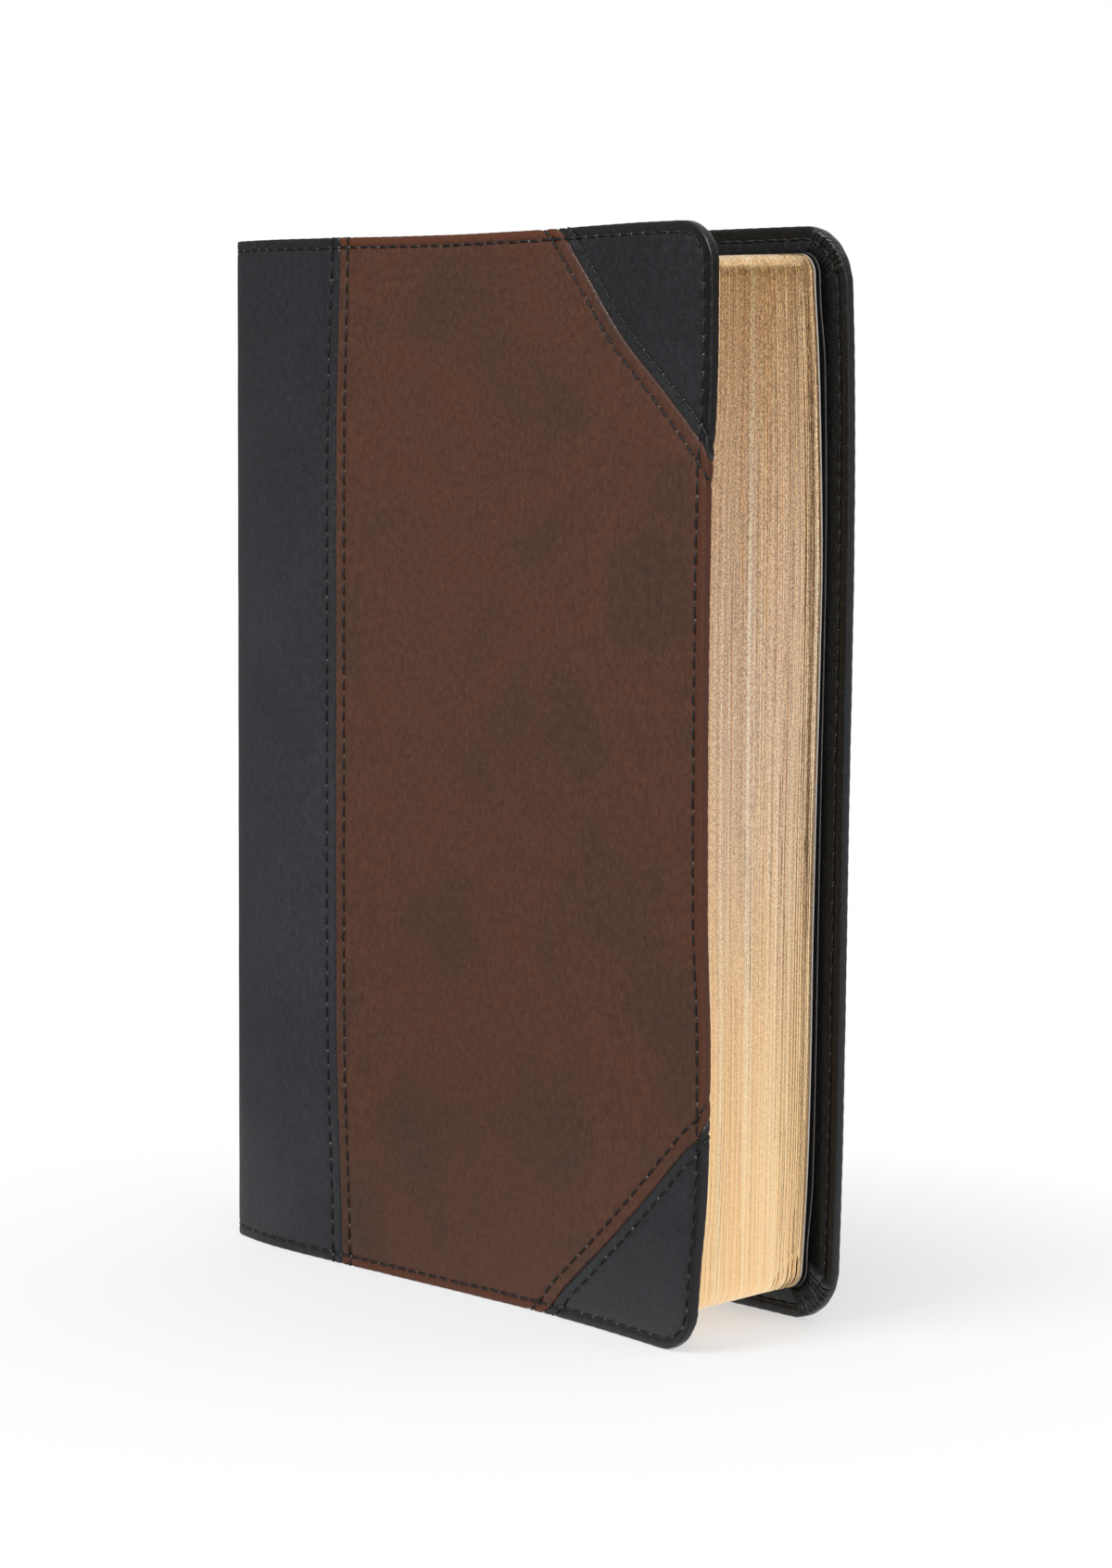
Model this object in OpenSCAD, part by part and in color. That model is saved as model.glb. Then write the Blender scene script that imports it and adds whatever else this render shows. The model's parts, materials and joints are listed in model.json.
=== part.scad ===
// Bible in a limp two-tone imitation-leather cover, standing upright on its tail edges.
// +Z is up, +X runs from the spine to the fore-edge, and the front cover faces -Y.
// The origin is the middle of the whole book's footprint. All lengths are in millimetres.
//
// The pages are sewn signatures in four groups. Each group carries its own stretch of the
// spine's back, and the groups open like a fan about lines on the outside of the spine.
// Each cover swings about a line on its own outer face, just in from the spine.

/* [Covers] */
// Height of the covers, from tail edge to head edge
cover_h = 224; // [180:1:280]
// Width of the closed book, from the outermost point of the spine to the fore-edge
book_w = 157; // [120:0.1:200]
// Radius of the covers' two fore-edge corners
cover_r = 9; // [5:0.5:14]
// Thickness of the imitation leather on the covers
leather_t = 0.75; // [0.5:0.05:1.2]
// Thickness of the flexible board inside each cover
board_t = 0.8; // [0.5:0.05:1.5]
// Width of the leather turned in over the board's edge
turnin_w = 12; // [8:0.5:20]
// Thickness of the lining inside each cover
lining_t = 0.4; // [0.2:0.05:0.5]
// Radius of the lining's two fore-edge corners
lining_r = 3; // [1:0.5:6]
// Distance from the hinge line to the board and the lining
board_setback = 2; // [1:0.5:5]
// Angle at which the front cover stands off the pages
front_flare = 1.4; // [0.2:0.1:2.5]
// Angle at which the back cover stands off the pages
back_flare = 0.3; // [0.2:0.1:2.5]

/* [Leather layout] */
// Reach of the black spine strip onto the front cover, from the spine's outermost point
strip_w = 40.4; // [30:0.1:55]
// Length of each leg of the black corner pieces
corner_leg = 45.5; // [30:0.5:60]
// Distance from the covers' edge to the middle of the edge stitching
edge_stitch_in = 2.7; // [2:0.1:4]
// Distance from a seam to the middle of each row of stitches beside it
seam_stitch_off = 2.9; // [2:0.1:4]
// Width of a row of thread
thread_w = 0.5; // [0.3:0.05:0.8]
// Depth to which the thread lies in the leather
thread_d = 0.4; // [0.2:0.05:0.45]

/* [Pages] */
// Thickness of all the gilt pages together
pages_t = 32.4; // [20:0.1:50]
// Overhang of the covers past the pages at head and tail
overhang_z = 5.8; // [3:0.1:9]
// Overhang of the covers past the pages at the fore-edge
overhang_x = 5.9; // [3:0.1:9]
// Radius of the pages' two fore-edge corners
page_r = 9; // [4:0.5:14]
// How much higher the last pages stand than the first, as the book slumps forward
page_sag = 1.2; // [0:0.1:2]
// Thickness of the plain white leaf at each end of the pages
endleaf_t = 0.35; // [0.2:0.05:0.6]
// Thickness of the black flyleaf at each end of the pages
flyleaf_t = 0.35; // [0.2:0.05:0.6]

/* [Spine] */
// Radius of the rounded spine
spine_r = 70; // [50:1:200]
// Radius of the pages' back corners, under the shoulder of the spine
back_corner_r = 2.7; // [1:0.1:4]
// Flat leather between the shoulder of the spine and the hinge line of a cover
hinge_flat = 2.4; // [0.6:0.1:6]
// Thickness of the leather on the spine
spine_leather_t = 0.9; // [0.6:0.05:1]
// Thickness of the cloth and paper lining on the backs of the signatures
mull_t = 0.9; // [0.5:0.05:1]
// How far the spine lining stops short of the ends of the pages
mull_short = 4; // [1:0.5:12]
// Thickness of the sewing thread and tapes on the backs of the signatures
sewing_t = 0.5; // [0.3:0.05:0.6]
// Width of each sewing tape
tape_w = 6; // [3:0.5:12]
// Distance from the ends of the pages to the first and last tape
tape_in = 16; // [10:1:30]
// Number of sewing tapes
tape_count = 5; // [3:1:7]
// Height of the headbands above and below the pages
headband_h = 1.8; // [1:0.1:2.5]
// Thickness of the headbands, measured in from the backs of the signatures
headband_t = 2.4; // [1.5:0.1:4]

/* [Clearances] */
// Gap between a flyleaf and the closed cover at the hinge
cover_gap = 0.3; // [0.2:0.05:0.6]
// Gap round the board and the lining inside the turned-in leather
fit_gap = 0.05; // [0.02:0.01:0.2]

/* [Hidden] */
group_count = 4;
signatures_each = 4;
signature_count = group_count * signatures_each;
past = 1;        // how far a cutting shape runs past what it cuts
arc_steps = 24;  // straight steps round the spine
shoulder_steps = 8;
$fn = 64;

black_leather = [0.18, 0.19, 0.21];
brown_leather = [0.32, 0.20, 0.14];
black_paper = [0.10, 0.10, 0.10];
black_thread = [0.04, 0.04, 0.05];
grey_board = [0.45, 0.43, 0.40];
gilt_pages = [0.85, 0.68, 0.42];
white_paper = [0.90, 0.88, 0.84];
mull_cloth = [0.80, 0.77, 0.68];
band_cloth = [0.55, 0.42, 0.22];
linen_thread = [0.88, 0.86, 0.78];

cover_t = 2 * leather_t + board_t;
half_t = pages_t / 2 + endleaf_t + flyleaf_t + cover_gap + cover_t;
back_in = spine_leather_t + mull_t + sewing_t;

// The spine's arc runs into a shoulder arc at each side, tangent to it and to the covers.
shoulder_r = back_in + back_corner_r;
shoulder_y = half_t - shoulder_r;
shoulder_x = spine_r - sqrt(pow(spine_r - shoulder_r, 2) - pow(shoulder_y, 2));
shoulder_a = asin(shoulder_y / (spine_r - shoulder_r));
hinge_x = shoulder_x + hinge_flat;
cover_w = book_w - hinge_x;

seam_x = strip_w - hinge_x;
page_x = book_w - overhang_x;
page_z0 = overhang_z;
page_z1 = cover_h - overhang_z;
signature_t = pages_t / signature_count;
group_t = pages_t / group_count;

// Middle of the footprint, with both covers at their resting angles
front_reach = cover_w * cos(front_flare) + cover_t * sin(front_flare);
back_reach = cover_w * cos(back_flare) + cover_t * sin(back_flare);
mid_x = (hinge_x + max(front_reach, back_reach)) / 2;
mid_y = cover_w * (sin(back_flare) - sin(front_flare)) / 2;

function two_digits(n) = n < 10 ? str("0", n) : str(n);
function signature_name(n) = str("signature_", two_digits(n));
function page_lift(y) = page_sag * y / pages_t;
function group_low(g) = g == 1 ? -half_t : -pages_t / 2 + (g - 1) * group_t;
function group_high(g) = g == group_count ? half_t : -pages_t / 2 + g * group_t;

// ---- Shapes that several pieces share ----

// Everything is laid out with the spine's outermost point at X 0 and the middle page at Y 0.
module book() {
    translate([-mid_x, -mid_y, 0]) children();
}

// A cover lies along X from its hinge line, with its outer face on Y 0 and its inner at cover_t.
module front_cover() {
    book() translate([hinge_x, -half_t, 0]) rotate([0, 0, -front_flare]) children();
}

module back_cover() {
    book() translate([hinge_x, half_t, 0]) rotate([0, 0, back_flare]) mirror([0, 1, 0])
        children();
}

// A flat XZ shape made into a plate from y0 to y1
module plate(y0, y1) {
    translate([0, y1, 0]) rotate([90, 0, 0]) linear_extrude(y1 - y0) children();
}

// A panel from x0 to x1 and from z0 to z1, with its two fore-edge corners rounded by r
module panel_2d(x0, x1, z0, z1, r) {
    translate([x0, z0]) square([x1 - r - x0, z1 - z0]);
    translate([x1 - r, z0 + r]) square([r, z1 - z0 - 2 * r]);
    for (z = [z0 + r, z1 - r]) translate([x1 - r, z]) circle(r);
}

// The cover's outline moved in by inset at head, fore-edge and tail, starting at x0
module cover_2d(inset = 0, x0 = 0) {
    panel_2d(x0, cover_w - inset, inset, cover_h - inset, cover_r - inset);
}

// The window that the turned-in leather leaves for the lining
module window_2d(inset = 0, x0 = 0) {
    margin = turnin_w + inset;
    panel_2d(x0, cover_w - margin, margin, cover_h - margin, lining_r);
}

// The part of the cover beyond the head corner's diagonal seam, which shift moves to the corner
module corner_2d(shift = 0) {
    leg = corner_leg - shift * sqrt(2);
    polygon([
        [cover_w - leg - past, cover_h + past],
        [cover_w + past, cover_h - leg - past],
        [cover_w + past, cover_h + past]
    ]);
}

module tail_corner_2d(shift = 0) {
    translate([0, cover_h]) mirror([0, 1]) corner_2d(shift);
}

// ---- Stitching, as rows of thread let into the leather ----

module edge_row_2d() {
    difference() {
        cover_2d(edge_stitch_in - thread_w / 2);
        cover_2d(edge_stitch_in + thread_w / 2, -past);
    }
}

// The part of the cover inside the edge stitching, where the other rows run
module field_2d() {
    cover_2d(edge_stitch_in + thread_w, 0);
}

module seam_rows_2d() {
    intersection() {
        field_2d();
        for (side = [-1, 1])
            translate([seam_x + side * seam_stitch_off - thread_w / 2, 0])
                square([thread_w, cover_h]);
    }
}

module corner_rows_2d() {
    intersection() {
        field_2d();
        for (side = [-1, 1]) {
            near = side * seam_stitch_off - thread_w / 2;
            difference() {
                corner_2d(near);
                corner_2d(near + thread_w);
            }
            difference() {
                tail_corner_2d(near);
                tail_corner_2d(near + thread_w);
            }
        }
    }
}

// ---- Covers ----

// Leather over one face of a cover, round its edge and turned in on the other face.
// The children give the outline of the piece.
module leather(rows = true) {
    difference() {
        plate(0, cover_t) children();
        plate(leather_t, cover_t - leather_t) cover_2d(leather_t, -past);
        plate(leather_t, cover_t + past) window_2d(0, -past);
        for (y = [-past, cover_t - thread_d])
            plate(y, y + thread_d + past) edge_row_2d();
        if (rows) plate(-past, thread_d) {
            seam_rows_2d();
            corner_rows_2d();
        }
    }
}

module front_panel() {
    color(brown_leather) front_cover() leather() difference() {
        cover_2d();
        translate([-past, -past]) square([seam_x + past, cover_h + 2 * past]);
        corner_2d();
        tail_corner_2d();
    }
}

module front_corner_head() {
    color(black_leather) front_cover() leather() intersection() {
        cover_2d();
        corner_2d();
    }
}

module front_corner_tail() {
    color(black_leather) front_cover() leather() intersection() {
        cover_2d();
        tail_corner_2d();
    }
}

module front_spine_wing() {
    color(black_leather) front_cover() leather() square([seam_x, cover_h]);
}

module back_leather() {
    color(black_leather) back_cover() leather(rows = false) cover_2d();
}

module board() {
    color(grey_board) plate(leather_t, leather_t + board_t)
        cover_2d(leather_t + fit_gap, board_setback);
}

module lining() {
    color(black_paper) plate(leather_t + board_t, leather_t + board_t + lining_t)
        window_2d(fit_gap, board_setback);
}

module edge_thread() {
    color(black_thread) for (y = [0, cover_t - thread_d])
        plate(y, y + thread_d) edge_row_2d();
}

module front_seam_thread() {
    color(black_thread) front_cover() plate(0, thread_d) seam_rows_2d();
}

module front_corner_thread() {
    color(black_thread) front_cover() plate(0, thread_d) corner_rows_2d();
}

// ---- Pages ----

// The book's cross-section moved in by inset, open at the fore-edge
module section_2d(inset) {
    arc_r = spine_r - inset;
    end_r = shoulder_r - inset;
    end_step = (90 - shoulder_a) / shoulder_steps;
    shoulder = [for (i = [0:shoulder_steps]) let (a = 90 - i * end_step)
        [shoulder_x - end_r * cos(a), shoulder_y + end_r * sin(a)]];
    arc = [for (i = [1:arc_steps - 1]) let (a = shoulder_a * (1 - 2 * i / arc_steps))
        [spine_r - arc_r * cos(a), arc_r * sin(a)]];
    polygon(concat(
        [[book_w, half_t - inset]],
        shoulder,
        arc,
        [for (i = [shoulder_steps:-1:0]) [shoulder[i][0], -shoulder[i][1]]],
        [[book_w, inset - half_t]]
    ));
}

// Leaves from y0 to y1, lifted by lift, with rounded fore-edge corners and a rounded back
module leaves(y0, y1, lift) {
    book() intersection() {
        translate([0, 0, lift]) plate(y0, y1) panel_2d(0, page_x, page_z0, page_z1, page_r);
        linear_extrude(cover_h) section_2d(back_in);
    }
}

module signature(n) {
    y0 = -pages_t / 2 + (n - 1) * signature_t;
    color(gilt_pages) leaves(y0, y0 + signature_t, page_lift(y0 + signature_t / 2));
}

module front_endleaf() {
    y = -pages_t / 2;
    color(white_paper) leaves(y - endleaf_t, y, page_lift(y));
}

module back_endleaf() {
    y = pages_t / 2;
    color(white_paper) leaves(y, y + endleaf_t, page_lift(y));
}

module front_flyleaf() {
    y = -pages_t / 2 - endleaf_t;
    color(black_paper) leaves(y - flyleaf_t, y, page_lift(y));
}

module back_flyleaf() {
    y = pages_t / 2 + endleaf_t;
    color(black_paper) leaves(y, y + flyleaf_t, page_lift(y));
}

// ---- Spine ----

// The spine's section between two depths and two Y values, as far as the hinge line
module band_2d(in0, in1, y0, y1) {
    intersection() {
        difference() {
            section_2d(in0);
            section_2d(in1);
        }
        translate([-past, y0]) square([hinge_x + past, y1 - y0]);
    }
}

module spine_leather(g) {
    color(black_leather) book() linear_extrude(cover_h)
        band_2d(0, spine_leather_t, group_low(g), group_high(g));
}

module spine_lining(g) {
    z0 = page_z0 + mull_short;
    color(mull_cloth) book() translate([0, 0, z0]) linear_extrude(cover_h - 2 * z0)
        band_2d(spine_leather_t, spine_leather_t + mull_t, group_low(g), group_high(g));
}

module sewing_tapes(g) {
    y0 = max(group_low(g), -pages_t / 2);
    y1 = min(group_high(g), pages_t / 2);
    first = page_z0 + tape_in;
    step = (cover_h - 2 * first - tape_w) / (tape_count - 1);
    color(linen_thread) book() for (i = [0:tape_count - 1])
        translate([0, 0, first + i * step]) linear_extrude(tape_w)
            band_2d(back_in - sewing_t, back_in, y0, y1);
}

module headbands(g) {
    y0 = max(group_low(g), -pages_t / 2);
    y1 = min(group_high(g), pages_t / 2);
    head = page_z1 + page_lift(y1 - signature_t / 2);
    tail = page_z0 + page_lift(y0 + signature_t / 2);
    color(band_cloth) book() for (z = [head, tail - headband_h])
        translate([0, 0, z]) linear_extrude(headband_h) intersection() {
            difference() {
                section_2d(back_in);
                translate([headband_t, 0]) section_2d(back_in);
            }
            translate([0, y0]) square([page_x, y1 - y0]);
        }
}

// ---- Nodes ----

front_panel();
front_corner_head();
front_corner_tail();
front_spine_wing();
front_cover() board();  // front_board
front_cover() lining();  // front_lining
front_cover() edge_thread();  // front_edge_thread
front_seam_thread();
front_corner_thread();
back_leather();
back_cover() board();  // back_board
back_cover() lining();  // back_lining
back_cover() edge_thread();  // back_edge_thread
front_flyleaf();
front_endleaf();
back_endleaf();
back_flyleaf();
for (n = [1:signature_count])
    signature(n);
for (g = [1:group_count]) {
    spine_leather(g);
    spine_lining(g);
    sewing_tapes(g);
    headbands(g);
}
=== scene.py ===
"""Looks of the limp two-tone book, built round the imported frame.

Shapes are worked out in millimetres in the book's own plan, with the spine's outermost point
at X 0 and the middle page at Y 0, and go to the row frame in metres at the very end.
"""
import json
import math

import bmesh
import bpy
import numpy as np
from mathutils import Matrix, Quaternion, Vector

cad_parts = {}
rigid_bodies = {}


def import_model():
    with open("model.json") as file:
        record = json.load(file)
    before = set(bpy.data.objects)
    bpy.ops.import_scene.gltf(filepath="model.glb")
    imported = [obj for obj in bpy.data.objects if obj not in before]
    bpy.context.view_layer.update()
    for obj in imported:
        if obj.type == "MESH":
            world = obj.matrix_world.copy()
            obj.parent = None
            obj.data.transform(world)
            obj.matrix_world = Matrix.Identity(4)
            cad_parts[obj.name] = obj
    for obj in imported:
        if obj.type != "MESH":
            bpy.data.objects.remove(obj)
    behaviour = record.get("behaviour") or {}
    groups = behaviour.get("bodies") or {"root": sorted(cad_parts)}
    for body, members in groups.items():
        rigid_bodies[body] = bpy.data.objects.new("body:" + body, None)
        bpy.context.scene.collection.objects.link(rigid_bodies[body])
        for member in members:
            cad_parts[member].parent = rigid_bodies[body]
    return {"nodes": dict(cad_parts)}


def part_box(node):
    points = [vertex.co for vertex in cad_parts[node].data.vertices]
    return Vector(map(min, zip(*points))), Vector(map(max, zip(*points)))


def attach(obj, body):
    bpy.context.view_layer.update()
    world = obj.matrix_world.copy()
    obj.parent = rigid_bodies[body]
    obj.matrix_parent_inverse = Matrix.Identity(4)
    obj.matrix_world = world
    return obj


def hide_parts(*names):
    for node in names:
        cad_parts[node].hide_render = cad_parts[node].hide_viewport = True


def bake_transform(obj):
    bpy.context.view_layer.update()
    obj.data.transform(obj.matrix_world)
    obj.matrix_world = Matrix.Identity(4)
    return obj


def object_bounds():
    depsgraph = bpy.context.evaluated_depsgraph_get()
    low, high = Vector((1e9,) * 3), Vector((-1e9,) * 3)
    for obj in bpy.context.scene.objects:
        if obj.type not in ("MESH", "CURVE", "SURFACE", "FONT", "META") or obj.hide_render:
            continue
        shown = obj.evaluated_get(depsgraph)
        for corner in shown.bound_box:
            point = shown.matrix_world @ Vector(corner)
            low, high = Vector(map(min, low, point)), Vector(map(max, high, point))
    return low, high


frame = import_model()
CAD_LOW, CAD_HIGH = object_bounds()
MM = 0.001
rng = np.random.default_rng(11)

# ---- Sizes shared with the CAD source, in millimetres ----
COVER_H = 224.0
COVER_W = 147.962
COVER_T = 2.3
CORNER_R = 9.0
BACK_CORNER_R = 12.2                # the back cover's corners have worn rounder
HINGE_X = 9.038
HALF_T = 19.5
TURNIN_W = 12.0
SEAM_U = 31.362
CORNER_LEG = 45.5
EDGE_ROW_IN = 2.7
SEAM_ROW_OFF = 2.9
DIAGONAL_ROWS = (-3.0, 2.3)         # stitching beside the corner pieces' seams
PAGES_T = 32.4
PAGE_X = 151.1
PAGE_Z0, PAGE_Z1 = 6.6, 218.2
PAGE_R = 4.2                        # rounding of the leaves' corners
PAGE_SAG = 1.2
FORE_HOLLOW = 0.5                   # how far the fore-edge is hollowed between its two sides
LEAF_T = 0.35
CLOSING = math.radians(1.2)         # how far the front cover can still close
BACK_CLOSING = math.radians(0.2)
SIGNATURES = 16
GROUP_T = PAGES_T / 4               # four groups of signatures turn as one each

# From the book's own plan to the row frame
OFFSET = np.array([CAD_LOW.x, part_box("signature_08")[1].y, 0.0]) / MM

# ---- Sizes of the leather sheet ----
SHEET_T = 0.6                       # thickness of the leather
ROUND = COVER_T / 2                 # radius of the cover's rounded edge
FACE_R = CORNER_R - ROUND           # how far the flat face reaches past the corner's centre
WRAP = math.pi * ROUND              # leather round the edge
FLAP = TURNIN_W - ROUND             # leather lying on the inner face
CENTRE_U, TOP_Z = COVER_W - CORNER_R, COVER_H - CORNER_R
ENDS = ((TOP_Z, 1), (CORNER_R, -1))     # the corners' centres, and the way out from each
ROW_R = CORNER_R - EDGE_ROW_IN      # edge stitching on the outer face
FLAP_ROW = EDGE_ROW_IN - ROUND      # edge stitching on the inner face
LONG_STITCHES, SHORT_STITCHES, CORNER_STITCHES = 60, 40, 3
PITCH_U = CENTRE_U / SHORT_STITCHES
PITCH_Z = (COVER_H - 2 * CORNER_R) / LONG_STITCHES
STITCH = 3.45                       # a stitch's usual length with its gap
STITCH_SHARE = 0.89                 # length of a stitch in shares of its pitch
THREAD_IN = 0.1                     # how far the thread's middle lies in the leather
PLEAT_ANGLE = 10                    # degrees of a corner that each pleat takes
FRONT_PLEAT, BACK_PLEAT = 0.3, 0.85
TUCK, TUCK_RUN = 6.0, 25            # how far a flap is drawn in beside a corner, and how soon
THIN_T = 1.3                        # thickness of the folded leather at the spine
BEND = 1.7                          # half the width of leather that bends over a fold
TINY = 1e-6
WELD = 1e-4

# Half of the spine's section, as X and distance from the middle page
SPINE_HALF = [
    (0, 0), (0.12, 4.05), (0.4, 8.1), (0.78, 12), (1.12, 14.4), (1.3, 15.15), (1.62, 15.75),
    (2.15, 16.2), (3.0, 16.6), (4.2, 16.98), (5.6, 17.38), (7.2, 17.72),
]
# How far the front cover's outside lies in from a flat plane, by distance from the hinge
FRONT_PROFILE = [
    (0, 1.42), (5, 0.62), (10, 0), (16, -0.28), (30, -0.34), (50, -0.1), (70, 0.12), (85, 0.17),
    (96, 0.05), (106, -0.35), (116, -0.95), (126, -1.8), (136, -2.8), (148.6, -4.05),
]
# Share of the front cover's fore-edge flare that is left at each height
FLARE_Z = [0, 11, 18, 28, 46, 65, 83, 102, 120, 139, 157, 176, 185, 194, 213, 224]
FLARE_SHARE = [1.2, 0.94, 0.79, 0.5, 0.3, 0.3, 0.52, 0.59, 0.61, 0.61, 0.57, 0.45, 0.26, 0.17,
               0.16, 0.14]
# How far the back cover and the last pages bow away at their fore-edge, at each height
BOW_Z = [0, 14, 30, 50, 80, 110, 137, 156, 178, 200, 212, 224]
BACK_BOW = [-1.0, -0.9, -0.35, 0, 0.3, 0.6, 1.0, 1.2, 1.1, 0.5, -0.1, -0.5]
PAGE_BOW = [-3.4, -2.2, -1.2, -0.6, -0.3, 0.25, 0.85, 1.1, 0.5, -0.6, -1.6, -2.1]
BACK_PROFILE = [
    (0, 1.42), (5, 0.62), (10, 0.02), (16, -0.1), (40, -0.2), (80, -0.4), (120, -0.6),
    (148.6, -0.78),
]
# Where the pages' backs begin, by distance from the middle page
BACK_Y = [0, 8.1, 12, 14.5, 15.5, 16.2, 16.56, 16.92]
BACK_X = [2.25, 2.7, 3.2, 3.9, 4.7, 6.4, 8.4, 10.6]


# ---- Small mathematics ----

def ramp(x, low, high):
    """0 below low, 1 above high, smooth between."""
    t = np.clip((np.asarray(x, float) - low) / (high - low), 0, 1)
    return t * t * (3 - 2 * t)


def distances(points):
    """The distance along a line at each of its points."""
    return np.concatenate([[0], np.cumsum(np.hypot(*np.diff(points, axis=0).T))])


def bump(x, width):
    return np.exp(-(np.asarray(x, float) / width) ** 2)


def curve_through(x, xs, ys):
    """The value at x of a smooth curve through the points xs, ys."""
    xs, ys = np.asarray(xs, float), np.asarray(ys, float)
    slope = np.gradient(ys, xs)
    i = np.clip(np.searchsorted(xs, x) - 1, 0, len(xs) - 2)
    h = xs[i + 1] - xs[i]
    t = (x - xs[i]) / h
    a = (1 + 2 * t) * (1 - t) ** 2 * ys[i] + t * (1 - t) ** 2 * h * slope[i]
    return a + t * t * (3 - 2 * t) * ys[i + 1] + t * t * (t - 1) * h * slope[i + 1]


def wander(x, seed, length):
    """A smooth random line, about -1 to 1, that changes over the given length."""
    phases = np.random.default_rng(seed).uniform(0, 2 * math.pi, 3)
    return sum(np.sin(x * 2 * math.pi * k / length + phase) / (k * 1.5)
               for k, phase in zip((1.0, 1.7, 2.9), phases))


# ---- The cover's section in plan ----

SECTION_STEPS = 6000


class Section:
    """The outside of half the closed book, as a line in plan from the middle of the spine
    round to the fore-edge, measured from the cover's hinge."""

    def __init__(self, side, profile, pleat):
        self.side, self.pleat = side, pleat
        points = [(x, HALF_T - y) for x, y in SPINE_HALF]
        points = np.array(points + [(HINGE_X + u, depth) for u, depth in profile])
        chord = distances(points)
        t = np.linspace(0, chord[-1], SECTION_STEPS)
        x, depth = (curve_through(t, chord, line) for line in points.T)
        y = side * (HALF_T - depth)
        run = distances(np.stack([x, y], -1))
        self.spine_length = np.interp(chord[len(SPINE_HALF)], t, run)
        self.u, self.x, self.y = run - self.spine_length, x, y
        self.nx, self.ny = side * np.gradient(y, self.u), -side * np.gradient(x, self.u)

    def at(self, u):
        """The point u from the hinge, and the direction inward there."""
        return [np.interp(u, self.u, line) for line in (self.x, self.y, self.nx, self.ny)]


FRONT = Section(-1, FRONT_PROFILE, FRONT_PLEAT)
BACK = Section(1, BACK_PROFILE, BACK_PLEAT)
SPINE_END = FRONT.spine_length      # from the spine's middle round to the front cover's hinge


def front_depth(u):
    return np.interp(u, *zip(*FRONT_PROFILE))


def thickness(u):
    return THIN_T + (COVER_T - THIN_T) * ramp(u, 1, 12)


def bow_at(z, values):
    """How far a piece bows away at its fore-edge, from its values at the heights BOW_Z."""
    return curve_through(np.clip(z, 0, COVER_H), BOW_Z, values)


def sway(side, u, z):
    """How far a cover leaves its mean curve towards the back, at each height."""
    if side > 0:
        return bow_at(z, BACK_BOW) * ramp(u, 20, 175)
    share = curve_through(np.clip(z, 0, COVER_H), FLARE_Z, FLARE_SHARE)
    lean = np.maximum(-front_depth(u), 0) * ramp(u, 88, 102)
    return (1 - share) * lean


def drift(side, u, z):
    """How far a spot has slid in u and z. The seams run a little crooked."""
    head = ramp(z, 150, COVER_H)
    if side > 0:
        return 0 * u, 0.5 * ramp(u, 20, 120) * head
    seam = bump(u - SEAM_U, 16) * (0.5 + 1.3 * bump(z - COVER_H, 27) + 2.2 * bump(z, 34))
    seam = seam + 0.6 * bump(u - SEAM_U + SEAM_ROW_OFF, 1.5) * ramp(z, 195, COVER_H)
    r, du, dz = polar(u, z)
    fore_edge = du ** 2 * (1.0 - 0.7 * ramp(z, 40, 100))
    row = (fore_edge + dz ** 2 * 0.55 * ramp(u, -18, 0)) * bump(r - ROW_R, 1.7)
    rise = 0.35 * ramp(u, 95, 130) * head - 0.6 * bump(u - 68, 42) * head + dz * row
    head_corner = bump(u - 124, 17) * bump(z - 201, 17) * (1 - ramp(u, 138, 146))
    tail_corner = bump(u - 106, 20) * (1 - ramp(z, -4, 34))
    return seam + du * row - 3.0 * (head_corner + tail_corner), rise


def round_off(side, u, z):
    """Draws the back cover's corners in along rays, to their wider round."""
    if side < 0:
        return u, z
    a = np.maximum(u - (COVER_W - BACK_CORNER_R), 0)
    b = z - np.clip(z, BACK_CORNER_R, COVER_H - BACK_CORNER_R)
    away = np.hypot(a, b)
    core = BACK_CORNER_R - CORNER_R
    total, square = a + np.abs(b), np.maximum(away, 1e-9) ** 2
    root = np.sqrt(np.maximum((core * total) ** 2 - square * (2 * core ** 2 - CORNER_R ** 2), 0))
    longest = np.maximum(a, np.abs(b))
    straight = np.minimum(a, np.abs(b)) * BACK_CORNER_R < longest * core
    share = np.where(straight, longest / BACK_CORNER_R, square / (core * total + root))
    scale = np.where((a > 0) & (np.abs(b) > 0), share * BACK_CORNER_R / np.sqrt(square), 1)
    return u - a + a * scale, z - b + b * scale


def place(section, u, z, depth):
    """The book point that lies depth in from the outside, u from the hinge and z up."""
    du, dz = drift(section.side, u, z)
    u, z = round_off(section.side, u + du, z + dz)
    x, y, nx, ny = section.at(u)
    inner = depth * thickness(u) / COVER_T
    y = y + ny * inner + sway(section.side, u, z)
    return np.stack([x + nx * inner, y, np.broadcast_to(z, np.shape(x))], -1)


def place_spine(w, z, depth):
    """As place, for w measured round the spine from its middle, towards the back."""
    u = np.abs(w) - SPINE_END
    front, back = place(FRONT, u, z, depth), place(BACK, u, z, depth)
    return np.where((np.asarray(w) < 0)[..., None], front, back)


# ---- The leather sheet: u and z on the unrolled sheet, h below its surface ----

def polar(u, z):
    """Distance and direction from the field inside the corners' centres."""
    du = np.maximum(u - CENTRE_U, 0)
    dz = z - np.clip(z, CORNER_R, TOP_Z)
    r = np.hypot(du, dz)
    safe = np.maximum(r, 1e-9)
    return r, du / safe, dz / safe


def squared(wave):
    """Turns a circle's sine or cosine into a squarer round's, for the cover's edge."""
    return np.sign(wave) * np.abs(wave) ** 0.52


def in_corner(du, dz):
    """Whether a spot lies at a corner, and its angle there from the fore-edge, in degrees."""
    return (du > TINY) & (np.abs(dz) > TINY), np.degrees(np.arctan2(np.abs(dz), du))


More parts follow.
